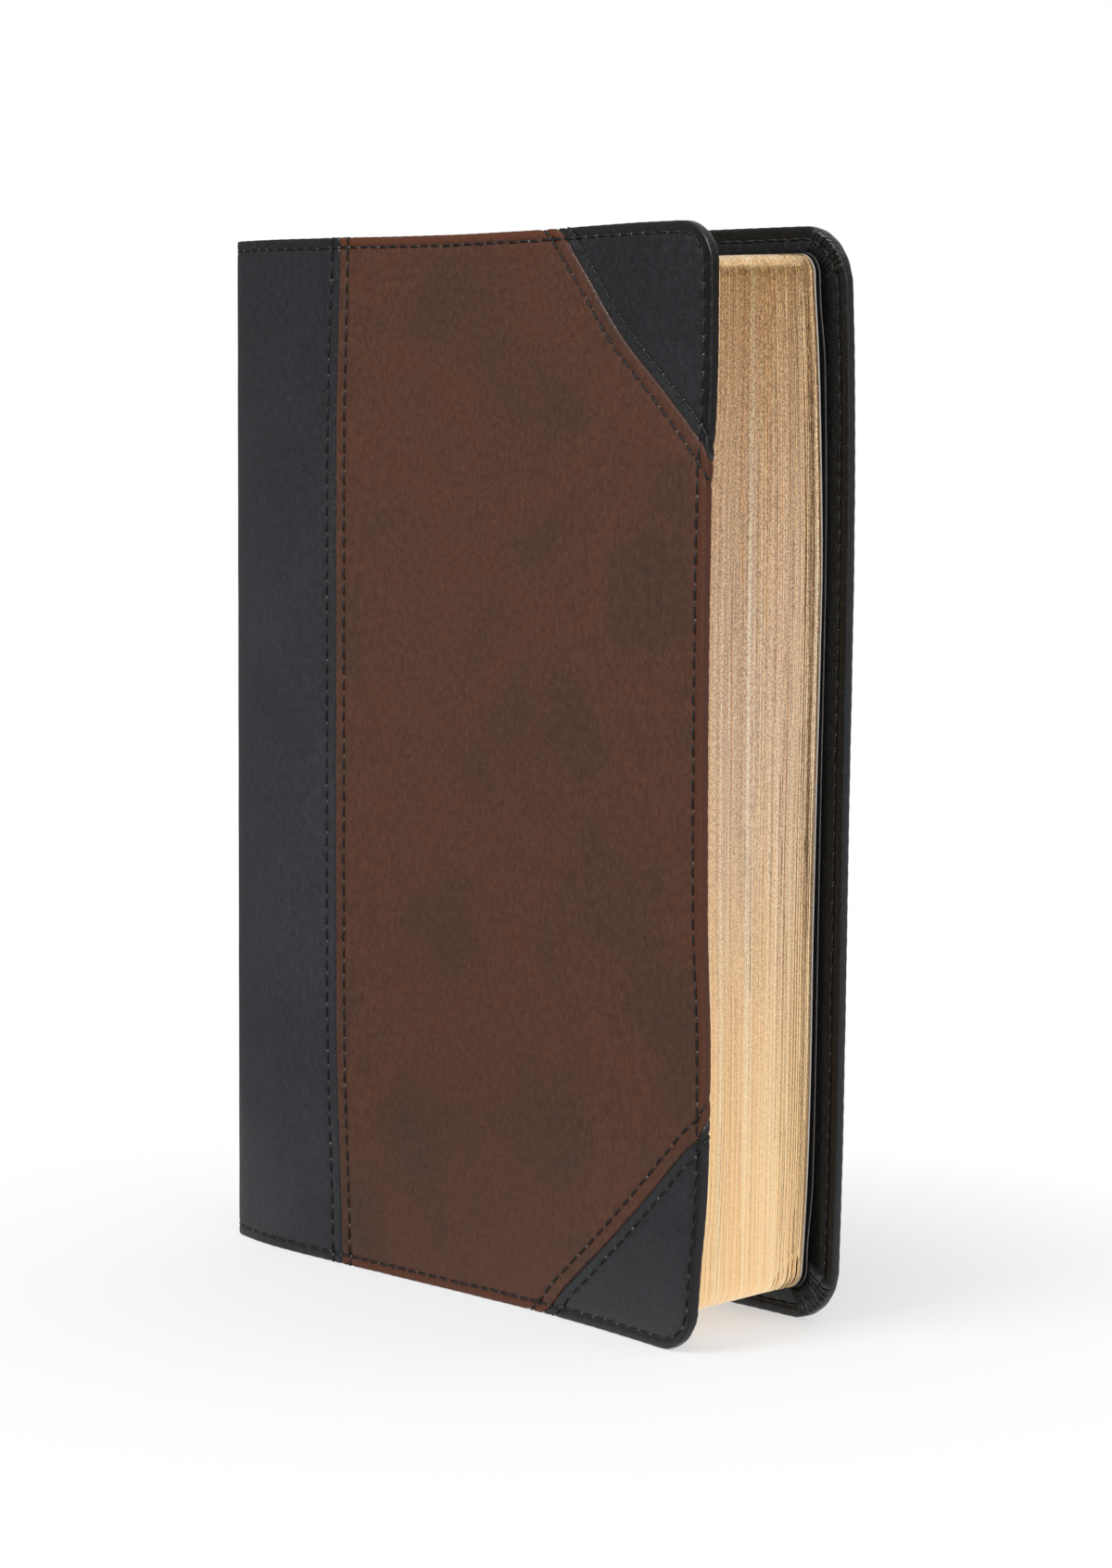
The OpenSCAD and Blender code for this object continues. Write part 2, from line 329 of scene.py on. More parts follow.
def pleat_wave(du, dz):
    """0 to 1 across each of the pleats that gather the turned-in leather at a corner."""
    corner, angle = in_corner(du, dz)
    return np.where(corner, np.mod(angle / PLEAT_ANGLE + TINY, 1), 0)


def fold(u, z, h, pleat_height=0.0):
    """Where a spot of the sheet lies once it is folded round a cover's edge: flat u and z,
    and depth in from the outside."""
    r, du, dz = polar(u, z)
    theta = np.clip((r - FACE_R) / ROUND, 0, math.pi)
    reach = np.minimum(r, FACE_R) + (ROUND - h) * squared(np.sin(theta))
    depth = np.where(theta > 0, ROUND - (ROUND - h) * squared(np.cos(theta)), h)
    tau = np.clip((r - FACE_R - WRAP) / FLAP, 0, 1)
    corner, _ = in_corner(du, dz)
    up, from_middle = np.sign(z - COVER_H / 2), np.abs(z - COVER_H / 2)
    straight_z = COVER_H / 2 - CORNER_R
    tuck_u = np.where(du > 0.5, TUCK / 2, TUCK * ramp(u, CENTRE_U - TUCK_RUN, CENTRE_U))
    tuck_z = up * TUCK * ramp(from_middle, straight_z - TUCK_RUN, straight_z)
    tuck_z = np.where(du > 0.5, tuck_z, TUCK / 2 * dz)
    flat = []
    for base, d, way, tuck in ((np.minimum(u, CENTRE_U), du, 1, tuck_u),
                               (np.clip(z, CORNER_R, TOP_Z), dz, up, tuck_z)):
        goal = np.where(corner, base - TUCK * way + TUCK / 2 * d, base - tuck)
        inside = (1 - tau) * (base + d * FACE_R) + tau * goal
        flat.append(np.where(tau > 0, inside, base + d * reach))
    pleat = pleat_wave(du, dz) * ramp(theta, 1.9, math.pi) * (1 - 0.4 * tau)
    return *flat, depth + pleat_height * pleat


def cover_map(section):
    """The function that folds spots of the sheet on to a cover."""
    return lambda u, z, h: place(section, *fold(u, z, h, section.pleat))


def stitch_phase(u, z):
    """How many stitches along the edge row a spot lies. Whole numbers are needle holes."""
    _, du, dz = polar(u, z)
    corner, angle = in_corner(du, dz)
    straight = np.where(np.abs(dz) > 0.5, u / PITCH_U, (z - CORNER_R) / PITCH_Z)
    return np.where(corner, angle / 90 * CORNER_STITCHES, straight)


def row_dip(across, phase, pitch):
    """How deep the leather is drawn in by a row of stitches."""
    hole = np.abs(phase - np.round(phase)) * pitch
    return 0.22 * bump(across, 0.7) + 0.2 * bump(across, 0.55) * bump(hole, 0.6)


def edge_dip(u, z, phase):
    """The edge rows on both faces, and the rim that they pinch between them."""
    r, _, _ = polar(u, z)
    flap = r - FACE_R - WRAP
    rim = ramp(r, ROW_R, ROW_R + 1.2) * (1 - ramp(flap, 0.4, FLAP_ROW))
    dip = row_dip(r - ROW_R, phase, STITCH) + row_dip(flap - FLAP_ROW, phase, STITCH)
    return dip + 0.05 * np.cos(math.pi * phase) ** 2 * rim


def seam_dip(across):
    """The groove where two leathers meet, with the soft swelling on each side of it."""
    swell = 0.05 * bump(np.abs(across) - SEAM_ROW_OFF / 2, 0.8)
    return 0.42 * bump(across, 0.24) - swell


def head_diagonal(u, z):
    """Distance past the head corner's seam, towards the corner."""
    return (u + z - (COVER_W + COVER_H - CORNER_LEG)) / math.sqrt(2)


def tail_diagonal(u, z):
    return (u - z - (COVER_W - CORNER_LEG)) / math.sqrt(2)


def rumple(u, z, seed, lengths):
    """Low soft waves in a cover's leather."""
    return (0.035 * wander(u + 0.6 * z, seed, lengths[0])
            * wander(z - 0.4 * u, seed + 1, lengths[1]))


def front_dip(u, z):
    seam = u - SEAM_U
    dip = edge_dip(u, z, stitch_phase(u, z)) + seam_dip(seam)
    for side in (-1, 1):
        dip = dip + row_dip(seam - side * SEAM_ROW_OFF, (z - CORNER_R) / PITCH_Z, PITCH_Z)
    for across, run in ((head_diagonal(u, z), u - z), (tail_diagonal(u, z), u + z)):
        dip = dip + seam_dip(across)
        for row in DIAGONAL_ROWS:
            dip = dip + row_dip(across - row, run / math.sqrt(2) / PITCH_Z, PITCH_Z)
    return dip + rumple(u, z, 3, (37, 29))


def back_dip(u, z):
    return edge_dip(u, z, stitch_phase(u, z)) + rumple(u, z, 5, (41, 33))


# ---- Flat layouts, as points and faces ----

EDGE_LEVELS = [1.6, 3.2, 4.6, 5.4, 5.8, 6.05, ROW_R, 6.55, 6.8, 7.3, FACE_R]
EDGE_LEVELS += [FACE_R + WRAP * k / 12 for k in range(1, 13)]
EDGE_LEVELS += [FACE_R + WRAP + x
                for x in (0.55, 1.05, 1.3, FLAP_ROW, 1.8, 2.1, 2.7, 4, 6, 8.5, FLAP)]


def lattice(xs, zs):
    """A grid's points and its faces, as arrays."""
    x, z = np.meshgrid(xs, zs, indexing="ij")
    n = len(zs)
    i, j = np.meshgrid(np.arange(len(xs) - 1), np.arange(n - 1), indexing="ij")
    a = (i * n + j).ravel()
    return np.stack([x.ravel(), z.ravel()], -1), np.stack([a, a + n, a + n + 1, a + 1], -1)


def panel_layout(us, zs, levels, arc_steps):
    """A panel with two rounded corners. us and zs divide the field inside their centres, and
    levels are the distances of the lines round it."""
    out = np.array([0.0, *levels])
    parts = [lattice(us, zs), lattice(us, zs[-1] + out), lattice(us, zs[0] - out[::-1]),
             lattice(us[-1] + out, zs)]
    for z, up in ((zs[-1], 1), (zs[0], -1)):
        points, faces = lattice(out, np.linspace(0, math.pi / 2, arc_steps + 1))
        r, a = points.T
        points = np.stack([us[-1] + r * np.cos(a), z + up * r * np.sin(a)], -1)
        parts.append((points, faces[:, ::up]))
    bm = bmesh.new()
    for points, faces in parts:
        verts = [bm.verts.new((*p, 0)) for p in points]
        for f in faces:
            bm.faces.new([verts[k] for k in f])
    bmesh.ops.remove_doubles(bm, verts=bm.verts, dist=WELD)
    return bm


def cut_along(bm, distance, offsets, near):
    """Adds edges along straight lines at the given distances from one line."""
    d0 = distance(0, 0)
    across = Vector((distance(1, 0) - d0, distance(0, 1) - d0, 0))
    faces = [f for f in bm.faces if abs(distance(*f.calc_center_median()[:2])) < near]
    geom = list(dict.fromkeys(g for f in faces for g in (f, *f.edges, *f.verts)))
    for offset in offsets:
        geom = bmesh.ops.bisect_plane(bm, geom=geom, plane_co=across * (offset - d0),
                                      plane_no=across, dist=1e-5)["geom"]


def layout_arrays(bm):
    """Points and faces of a flat layout, with faces of zero size left out."""
    bmesh.ops.dissolve_degenerate(bm, edges=bm.edges, dist=WELD)
    bm.verts.index_update()
    points = np.array([v.co[:2] for v in bm.verts])
    faces = [[v.index for v in f.verts] for f in bm.faces]
    bm.free()
    return points, faces


# ---- Meshes and objects ----

def turned_out(points, faces):
    """The faces, turned so that the closed mesh faces outwards."""
    volume = 0.0
    for size in {len(f) for f in faces}:
        f = np.array([f for f in faces if len(f) == size])
        for k in range(1, size - 1):
            across = np.cross(points[f[:, k]], points[f[:, k + 1]])
            volume += np.sum(points[f[:, 0]] * across)
    return faces if volume > 0 else [f[::-1] for f in faces]


def add_object(name, data):
    thing = bpy.data.objects.new(name, data)
    bpy.context.scene.collection.objects.link(thing)
    return thing


def make_object(name, points, faces, materials, smooth=50, attributes=None, slots=None):
    """A mesh object in the row frame, from book points in millimetres."""
    mesh = bpy.data.meshes.new(name)
    mesh.from_pydata(((points + OFFSET) * MM).tolist(), [], [list(map(int, f)) for f in faces])
    for key, values in (attributes or {}).items():
        layer = mesh.attributes.new(key, "FLOAT", "POINT")
        layer.data.foreach_set("value", np.asarray(values, np.float32))
    mesh.shade_smooth()
    mesh.set_sharp_from_angle(angle=math.radians(smooth))
    for material in materials:
        mesh.materials.append(material)
    if slots is not None:
        mesh.polygons.foreach_set("material_index", np.asarray(slots, np.int32))
    mesh.validate()
    return add_object(name, mesh)


def pick(points, faces, keep):
    """The part of a layout whose faces keep chooses, with its own numbering."""
    chosen = [f for f, k in zip(faces, keep) if k]
    used = np.unique([i for f in chosen for i in f])
    number = {int(i): n for n, i in enumerate(used)}
    return points[used], [[number[i] for i in f] for f in chosen]


def open_edges(faces):
    """The edges that only one face has, in that face's direction."""
    directed = {(f[k], f[(k + 1) % len(f)]) for f in faces for k in range(len(f))}
    return [(a, b) for a, b in directed if (b, a) not in directed]


def shell(top, bottom, faces):
    """A closed skin between two surfaces with the same faces."""
    n = len(top)
    walls = sorted([b, a, a + n, b + n] for a, b in open_edges(faces))
    closed = list(faces) + [[i + n for i in reversed(f)] for f in faces] + walls
    points = np.concatenate([top, bottom])
    return points, turned_out(points, closed)


def strip_painted_light(u, z):
    """Paler towards the tail: painted light, as from the bright floor below."""
    return 1 + 0.28 * ramp(195 - z, 0, 90)


def panel_painted_light(u, z):
    """Paler on the head's rim, painted light from above, and darker on the fore-edge's rim, painted
    shade.
    """
    r, du, dz = polar(u, z)
    return 1 + ramp(r, ROW_R, FACE_R) * (0.1 * np.maximum(dz, 0) - 0.1 * du)


def corner_painted_light(u, z):
    """Paler on the corner pieces' cut edges, where they turn over the cover's rim: a painted
    highlight. Darker towards the head and on the fore-edge's rim: painted shade.
    """
    r, du, _ = polar(u, z)
    # The cut-edge term is a painted highlight; the darkening towards the head and on the fore-edge's
    # rim is painted shade.
    cut = bump(head_diagonal(u, z) - 0.2, 0.25) + bump(tail_diagonal(u, z) - 0.2, 0.25)
    face = 0.95 - 0.13 * ramp(z, 60, 160)
    return face + (2.2 * cut - 0.6 * du * (1 - cut)) * ramp(r, ROW_R, FACE_R)


def back_painted_light(u, z):
    """Darker on the inside, as painted shade, with painted highlights on the pleats' ridges at the
    corners and on the fold where their pleating begins, and painted shade in the pleats' hollows.
    Beside the spine it takes on the spine strip's painted light.
    """
    r, du, dz = polar(u, z)
    # How far a spot lies on the inner face, which is darkened as painted shade.
    inside = ramp(r, FACE_R + ROUND, FACE_R + WRAP)
    wave = pleat_wave(du, dz)
    # Painted highlights on the pleats' ridges and along the fold, painted shade in the pleats'
    # hollows.
    pleat_highlight = 3 + 16 * bump(r - FACE_R - WRAP - 0.8, 1.7) * (0.75 - 0.45 * np.sign(dz))
    pleat_light_and_shade = pleat_highlight * wave ** 4 * (0.7 + 0.5 * wander(r + 40 * du, 12, 3)) - 0.45 * (wave > 0)
    fold_highlight = 4 * bump(u - CENTRE_U, 0.45) * (0.4 + wander(r, 13, 4)) ** 2
    # The spine strip's painted light, carried on to the cover beside the spine.
    spine_painted_light = 1 + (strip_painted_light(u, z) - 1) * (1 - ramp(u, 5, 60))
    return spine_painted_light * (1 - 0.55 * inside) * (
        1 + inside * np.maximum(pleat_light_and_shade + fold_highlight, -0.6))


def leather_piece(name, surface, points, faces, dip, material, painted_light, rim=1):
    """One piece of the sheet with its thickness. surface says where its spots lie, and the
    shading function gives the painted light and shade that multiply its colour.
    """
    u, z = points.T
    drawn, rim = dip(u, z), rim * ramp(polar(u, z)[0], ROW_R - 1.5, FACE_R + 0.3)
    skin = shell(surface(u, z, drawn), surface(u, z, drawn + SHEET_T), faces)
    return make_object(name, *skin, [material], attributes={
        "rim": np.tile(rim, 2), "painted_light": np.tile(painted_light(u, z), 2)})


# ---- Materials ----

class Nodes:
    """The nodes of a new material or world, with a short call for each kind of node."""

    def __init__(self, owner):
        owner.use_nodes = True
        self.owner, self.tree = owner, owner.node_tree

    def put(self, socket, value):
        """Links a socket to another, or sets it to a number, a vector or a colour."""
        if isinstance(value, bpy.types.NodeSocket):
            self.tree.links.new(value, socket)
        else:
            socket.default_value = (*value, 1) if socket.type == "RGBA" else value

    def add(self, kind, out=0, inputs=(), **settings):
        """Adds a node with these settings and inputs, and gives one of its outputs."""
        node = self.tree.nodes.new("ShaderNode" + kind)
        for key, value in settings.items():
            setattr(node, key, value)
        for key, value in dict(inputs).items():
            self.put(node.inputs[key], value)
        return node.outputs[out]

    def place(self):
        return self.add("TexCoord", "Object")

    def axis(self, name):
        """One coordinate in the object's own space."""
        return self.add("SeparateXYZ", name, {"Vector": self.place()})

    def texture(self, scale, stretch=(1, 1, 1), kind="Noise", **values):
        """A noise or Voronoi texture in the object's own space, in cells per metre."""
        mapping = self.add("Mapping", inputs={"Vector": self.place(), "Scale": stretch})
        inputs = {"Vector": mapping, "Scale": scale}
        inputs.update((key.title(), value) for key, value in values.items())
        return self.add("Tex" + kind, "Distance" if kind == "Voronoi" else 0, inputs)

    def colors(self, source, *stops):
        """A colour ramp. A stop is a position and a colour, or one number for a grey."""
        node = self.tree.nodes.new("ShaderNodeValToRGB")
        elements = node.color_ramp.elements
        while len(elements) < len(stops):
            elements.new(0.5)
        for element, (position, color) in zip(elements, stops):
            element.position = position
            element.color = (*(color if np.ndim(color) else (color,) * 3), 1)
        self.put(node.inputs["Fac"], source)
        return node.outputs["Color"]

    def span(self, source, low, high, out_low, out_high):
        """Carries the range from low to high over to the range from out_low to out_high."""
        return self.add("MapRange", "Result", {
            "Value": source, "From Min": low, "From Max": high,
            "To Min": out_low, "To Max": out_high})

    def mix(self, factor, a, b, kind="MIX"):
        return self.add("Mix", 2, {0: factor, 6: a, 7: b}, data_type="RGBA", blend_type=kind)

    def math(self, operation, a, b):
        return self.add("Math", 0, {0: a, 1: b}, operation=operation)

    def attribute(self, name, out="Fac"):
        return self.add("Attribute", out, attribute_name=name)

    def bump(self, *heights):
        """Chains bumps, each a height, its depth in metres and its strength."""
        normal = {}
        for height, distance, strength in heights:
            normal = {"Normal": self.add("Bump", 0, {
                "Distance": distance, "Strength": strength, "Height": height, **normal})}
        return normal["Normal"]

    def ray(self, kind):
        return self.add("LightPath", f"Is {kind} Ray")

    def seen(self):
        """1 for rays from the camera, and for those that gloss or glass sends out."""
        seen = self.math("MAXIMUM", self.ray("Camera"), self.ray("Glossy"))
        return self.math("MAXIMUM", seen, self.ray("Transmission"))

    def surface(self, **values):
        """Sets inputs of the standard shader, and gives the material."""
        for key, value in values.items():
            self.put(self.tree.nodes["Principled BSDF"].inputs[key.replace("_", " ")], value)
        return self.owner

    def output(self, shader):
        """Shows this shader instead of the standard one, and gives the material."""
        self.put(self.tree.nodes["Material Output"].inputs["Surface"], shader)
        return self.owner


def new_material(name):
    return Nodes(bpy.data.materials.new(name))


def srgb(*levels):
    """A colour as written in a picture, from 0 to 255, in linear light."""
    return tuple(c / 255 / 12.92 if c / 255 <= 0.04045 else ((c / 255 + 0.055) / 1.055) ** 2.4
                 for c in levels)


def leather_material(name, rim_color, coat, *stops):
    """Grained leather with a mottled colour, another one on the rim, painted light and shade
    from the mesh, and a dull coat.
    """
    n = new_material(name)
    blotch = n.texture(36, detail=3.0, roughness=0.45, distortion=0.4)
    fine = n.texture(1000, (1, 1, 0.65), detail=4.0, roughness=0.65)
    pebble = n.texture(1300, kind="Voronoi", randomness=1.0)
    crease = n.texture(560, (1, 1, 0.65), detail=5.0, roughness=0.65, distortion=1.0)
    color = n.mix(0.7, n.colors(blotch, *stops), n.colors(fine, (0.3, 0.66), (0.7, 1.34)),
                  "MULTIPLY")
    color = n.mix(n.span(n.attribute("rim"), 0, 1, 0, 0.8), color, rim_color)
    # The colour is multiplied by a mesh attribute that holds painted light and shade.
    return n.surface(
        Base_Color=n.mix(1.0, color, n.attribute("painted_light", "Color"), "MULTIPLY"),
        Roughness=n.span(fine, 0.3, 0.7, 0.42, 0.6), Specular_IOR_Level=0.15,
        Coat_Weight=coat, Coat_Roughness=0.16,
        Normal=n.bump((pebble, 0.00022, 0.5), (crease, 0.0005, 0.75)))


BLACK_LEATHER = leather_material(
    "black leather", srgb(30, 32, 33), 0.28,
    (0.3, srgb(33, 35, 38)), (0.55, srgb(37, 39, 42)), (0.8, srgb(41, 43, 46)))
BROWN_LEATHER = leather_material(
    "brown leather", srgb(88, 47, 26), 0.16,
    (0.32, srgb(71, 48, 35)), (0.44, srgb(77, 49, 35)), (0.54, srgb(82, 49, 34)),
    (0.64, srgb(79, 49, 35)), (0.76, srgb(72, 49, 35)))


def plain_material(name, color, roughness, scale, amount=0.25, depth=0.00005, specular=0.3):
    """A matt material with a fine mottled surface."""
    n = new_material(name)
    noise = n.texture(scale, detail=4.0, roughness=0.6)
    low = tuple(c * (1 - amount) for c in color)
    high = tuple(min(1, c * (1 + amount)) for c in color)
    return n.surface(
        Base_Color=n.colors(noise, (0.3, low), (0.7, high)), Specular_IOR_Level=specular,
        Roughness=n.span(noise, 0.3, 0.7, roughness - 0.06, roughness + 0.06),
        Normal=n.bump((noise, depth, 0.5)))


def thread_material():
    """Black thread. The leather pinched up between its stitches is glossy, and its paler colour is a
    painted highlight.
    """
    n = new_material("stitching thread")
    noise = n.texture(3500, detail=4.0, roughness=0.6)
    pinch = n.attribute("pinch")
    color = n.colors(noise, (0.3, srgb(9, 9, 10)), (0.7, srgb(19, 20, 22)))
    # On the pinched leather the colour turns pale: a painted highlight.
    return n.surface(
        Base_Color=n.mix(pinch, color, srgb(108, 96, 86)), Specular_IOR_Level=0.3,
        Roughness=n.span(pinch, 0, 1, 0.55, 0.25), Normal=n.bump((noise, 0.00012, 0.5)))


THREAD = thread_material()
BOARD = plain_material("cover board", srgb(120, 116, 108), 0.85, 700)
LINING = plain_material("black lining", srgb(27, 26, 25), 0.6, 1400, specular=0.2)
BLACK_PAPER = plain_material("black paper", srgb(30, 29, 29), 0.55, 900, specular=0.2)
# The black paper's grey core, painted paler as the light line its cut edge catches: partly its own
# colour, partly a painted highlight.
BLACK_PAPER_EDGE_HIGHLIGHT = plain_material("black paper's cut edge, painted highlight", srgb(104, 100, 96), 0.6, 900)
WHITE_PAPER = plain_material("white paper", srgb(216, 208, 198), 0.8, 600, 0.05)
PAGE_PAPER = plain_material("page paper", srgb(236, 230, 218), 0.85, 500, 0.04)
MULL = plain_material("spine cloth", srgb(205, 198, 180), 0.9, 1800, 0.12, 0.0001)
LINEN = plain_material("sewing linen", srgb(226, 218, 200), 0.9, 2200, 0.15, 0.0001)


def gilt_material():
    """Gold leaf on cut paper. Its ridges run along each leaf, so that it blurs what it
    reflects across the leaves and not along them. Some bands of leaves are paler and bluer than
    the rest. Towards the tail the bands and the grain fade from the colour, which grows plainer
    and brighter as a painted reflection of the bright floor, and the bumps grow weaker. In the
    slits between worn leaves the colour is painted dark: painted shade."""
    n = new_material("gilt page edges")
    streak = n.texture(1.0, (6, 2300, 6), detail=3.0, roughness=0.6)
    wide = n.texture(1.0, (4, 330, 4), detail=2.0, roughness=0.5)
    grain = n.texture(2700, (1, 1, 0.8), detail=3.0, roughness=0.65)
    color = n.colors(streak, (0.32, (0.92, 0.59, 0.29)), (0.5, (1.0, 0.69, 0.37)),
                     (0.7, (1.0, 0.79, 0.51)))
    half = PAGES_T / 2 * MM
    bands = n.colors(
        n.span(n.axis("Y"), -half, half, 0, 1), (0.0, 0.86), (0.44, 0.82),
        (0.458, (1.04, 1.08, 1.16)), (0.473, 0.9), (0.49, (1.0, 1.02, 1.12)), (0.515, 0.86),
        (0.7, 0.88), (0.75, (0.89, 0.91, 0.98)), (0.8, 0.84), (1.0, 0.94))
    # Painted reflection: less colour detail towards the tail leaves the lower gilt plainer and
    # brighter.
    detail_vs_painted_reflection = n.span(n.axis("Z"), 0.02, 0.13, 0.16, 1.0)
    color = n.mix(detail_vs_painted_reflection, color, bands, "MULTIPLY")
    color = n.mix(detail_vs_painted_reflection, color, n.colors(grain, (0.34, 0.6), (0.66, 1.4)), "MULTIPLY")
    strength = n.span(detail_vs_painted_reflection, 0, 1, 0.15, 0.8)
    # Painted shade: the slot attribute darkens the slits between worn leaves.
    return n.surface(
        Base_Color=n.mix(n.attribute("slot"), color, (0.05, 0.035, 0.025)), Metallic=1.0,
        Roughness=n.span(grain, 0.3, 0.7, 0.17, 0.27),
        Normal=n.bump((streak, 0.0001, strength), (wide, 0.0005, strength), (grain, 0.00009, 0.6)))


GILT = gilt_material()


def headband_material():
    """Silk sewn over a core in turns of two colours."""
    n = new_material("headband silk")
    wave = n.add("TexWave", "Color", {"Vector": n.place(), "Scale": 190, "Distortion": 1.0,
                                      "Detail": 2}, bands_direction="Y")
    silk = n.texture(900, (1, 6, 1), detail=3.0)
    return n.surface(
        Base_Color=n.colors(wave, (0.42, srgb(38, 34, 30)), (0.58, srgb(176, 138, 78))),
        Roughness=n.span(silk, 0.3, 0.7, 0.4, 0.6), Normal=n.bump((silk, 0.0001, 0.4)))


HEADBAND = headband_material()


# ---- Covers ----

def field_us(extra=()):
    """Lines across the field: four to a stitch, and more beside the seam."""
    us = PITCH_U * np.arange(4, SHORT_STITCHES * 4 + 1) / 4
    for x in extra:
        us = us[np.abs(us - x) > 0.17]
    return np.sort(np.concatenate([us, extra]))


FIELD_ZS = CORNER_R + PITCH_Z * np.arange(0, LONG_STITCHES * 4 + 1) / 4
ROW_LINES = [-0.5, -0.25, 0, 0.25, 0.5]
SEAM_LINES = [-0.75, -0.45, -0.22, 0, 0.22, 0.45, 0.75]


def front_leather():
    beside = [SEAM_U + x for x in SEAM_LINES]
    beside += [SEAM_U + s * SEAM_ROW_OFF + x for s in (-1, 1) for x in ROW_LINES]
    bm = panel_layout(field_us(beside), FIELD_ZS, EDGE_LEVELS, arc_steps=24)
    offsets = SEAM_LINES + [row + x for row in DIAGONAL_ROWS for x in (-0.4, 0, 0.4)]
    for diagonal in (head_diagonal, tail_diagonal):
        cut_along(bm, diagonal, sorted(offsets), near=7)
    points, faces = layout_arrays(bm)
    u, z = np.array([points[f].mean(axis=0) for f in faces]).T
    head, tail = head_diagonal(u, z) > 0, tail_diagonal(u, z) > 0
    wing = u < SEAM_U
    for node, keep, slot, material, painted_light in (
        ("front_panel", ~(head | tail | wing), "brown_leather", BROWN_LEATHER, panel_painted_light),
        ("front_corner_head", head, "black_leather", BLACK_LEATHER, corner_painted_light),
        ("front_corner_tail", tail, "black_leather", BLACK_LEATHER, corner_painted_light),
        ("front_spine_wing", wing, "black_leather", BLACK_LEATHER, strip_painted_light),
    ):
        piece = leather_piece("leather_" + node, cover_map(FRONT), *pick(points, faces, keep),
                              front_dip, material, painted_light)
        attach(piece, "front_cover")
        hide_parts(node)


def back_leather():
    layout = layout_arrays(panel_layout(field_us(), FIELD_ZS, EDGE_LEVELS, arc_steps=48))
    piece = leather_piece("leather_back_cover", cover_map(BACK), *layout, back_dip,
                          BLACK_LEATHER, back_painted_light)
    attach(piece, "back_cover")
    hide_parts("back_leather")


def inner_plate(name, section, body, node, material, start, inset, radius, depths):
    """A board or a lining that follows its cover's curve."""
    us = np.linspace(start, COVER_W - inset - radius, 30)
    zs = np.linspace(inset + radius, COVER_H - inset - radius, 40)
    points, faces = layout_arrays(panel_layout(us, zs, [radius], 10))
    top, bottom = (place(section, *points.T, np.full(len(points), d)) for d in depths)
    piece = make_object(name, *shell(top, bottom, faces), [material])
    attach(piece, body)
    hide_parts(node)


def boards_and_linings():
    for side, section in (("front", FRONT), ("back", BACK)):
        body = side + "_cover"
        inner_plate(side + "_stiff_board", section, body, side + "_board", BOARD,
                    start=8, inset=1.6, radius=CORNER_R - 1.6, depths=(0.75, 1.5))
        inner_plate(side + "_inside_lining", section, body, side + "_lining",
                    LINING, start=6, inset=TURNIN_W - 0.1, radius=3.1, depths=(1.52, 1.95))


# ---- Stitches ----

RINGS, PINCH_RINGS, SIDES = 8, 6, 8


def ring_faces(rings, sides):
    """Faces of a closed tube with the given numbers of rings and sides."""
    faces = [[k * sides + i, k * sides + (i + 1) % sides, (k + 1) * sides + (i + 1) % sides,
              (k + 1) * sides + i] for k in range(rings - 1) for i in range(sides)]
    last = (rings - 1) * sides
    return faces + [list(range(sides))[::-1], [last + i for i in range(sides)]]


def stitch_shapes():
    """A stitch of thread, as distance along from -1 to 1, across and above, and the leather
    pinched up between two stitches. The rest is in millimetres."""
    angles = np.linspace(0, 2 * math.pi, SIDES, endpoint=False)
    t, a = np.meshgrid(np.linspace(-1, 1, RINGS), angles, indexing="ij")
    swell = np.sqrt(1 - np.abs(t) ** 5 * 0.85)
    thread = (t, 0.25 * swell * np.cos(a), 0.04 - 0.5 * np.abs(t) ** 4 + 0.2 * swell * np.sin(a))
    t, a = np.meshgrid(np.linspace(-0.97, 0.97, PINCH_RINGS), angles, indexing="ij")
    swell = np.sqrt(1 - t ** 2)
    return thread, (0.24 * t, 0.3 * swell * np.cos(a), -0.22 + 0.22 * swell * np.sin(a))


def stitch_meshes(stitches, surface):
    """Thread for a list of stitches: middle u and z, direction and pitch. The last result
    is 1 at the points of pinched leather."""
    thread, pinch = stitch_shapes()
    flat = []
    for u, z, du, dz, pitch in stitches:
        turn = rng.normal(0, 0.04)
        du, dz = np.array([du - turn * dz, dz + turn * du]) / math.hypot(1, turn)
        u, z = u + rng.normal(0, 0.05), z + rng.normal(0, 0.05)
        half = pitch * STITCH_SHARE / 2 * rng.uniform(0.95, 1.05)
        size = 1.1 * rng.uniform(0.3, 1) ** 1.5
        for run, across, above in ((thread[0] * half, *thread[1:]),
                                   (pinch[0] * size - pitch / 2, pinch[1] * size,
                                    pinch[2] + 0.1 * (size - 1))):
            flat.append(np.stack([u + du * run - dz * across, z + dz * run + du * across,
                                  THREAD_IN - above]).reshape(3, -1))
    points = surface(*np.concatenate(flat, axis=1))
    first, both = RINGS * SIDES, (RINGS + PINCH_RINGS) * SIDES
    closed = []
    for at, end, rings in ((0, first, RINGS), (first, both, PINCH_RINGS)):
        part = turned_out(points[at:end], ring_faces(rings, SIDES))
        closed += [[i + k * both + at for i in f] for k in range(len(stitches)) for f in part]
    return points, closed, np.tile(np.repeat([0.0, 1.0], [first, both - first]), len(stitches))


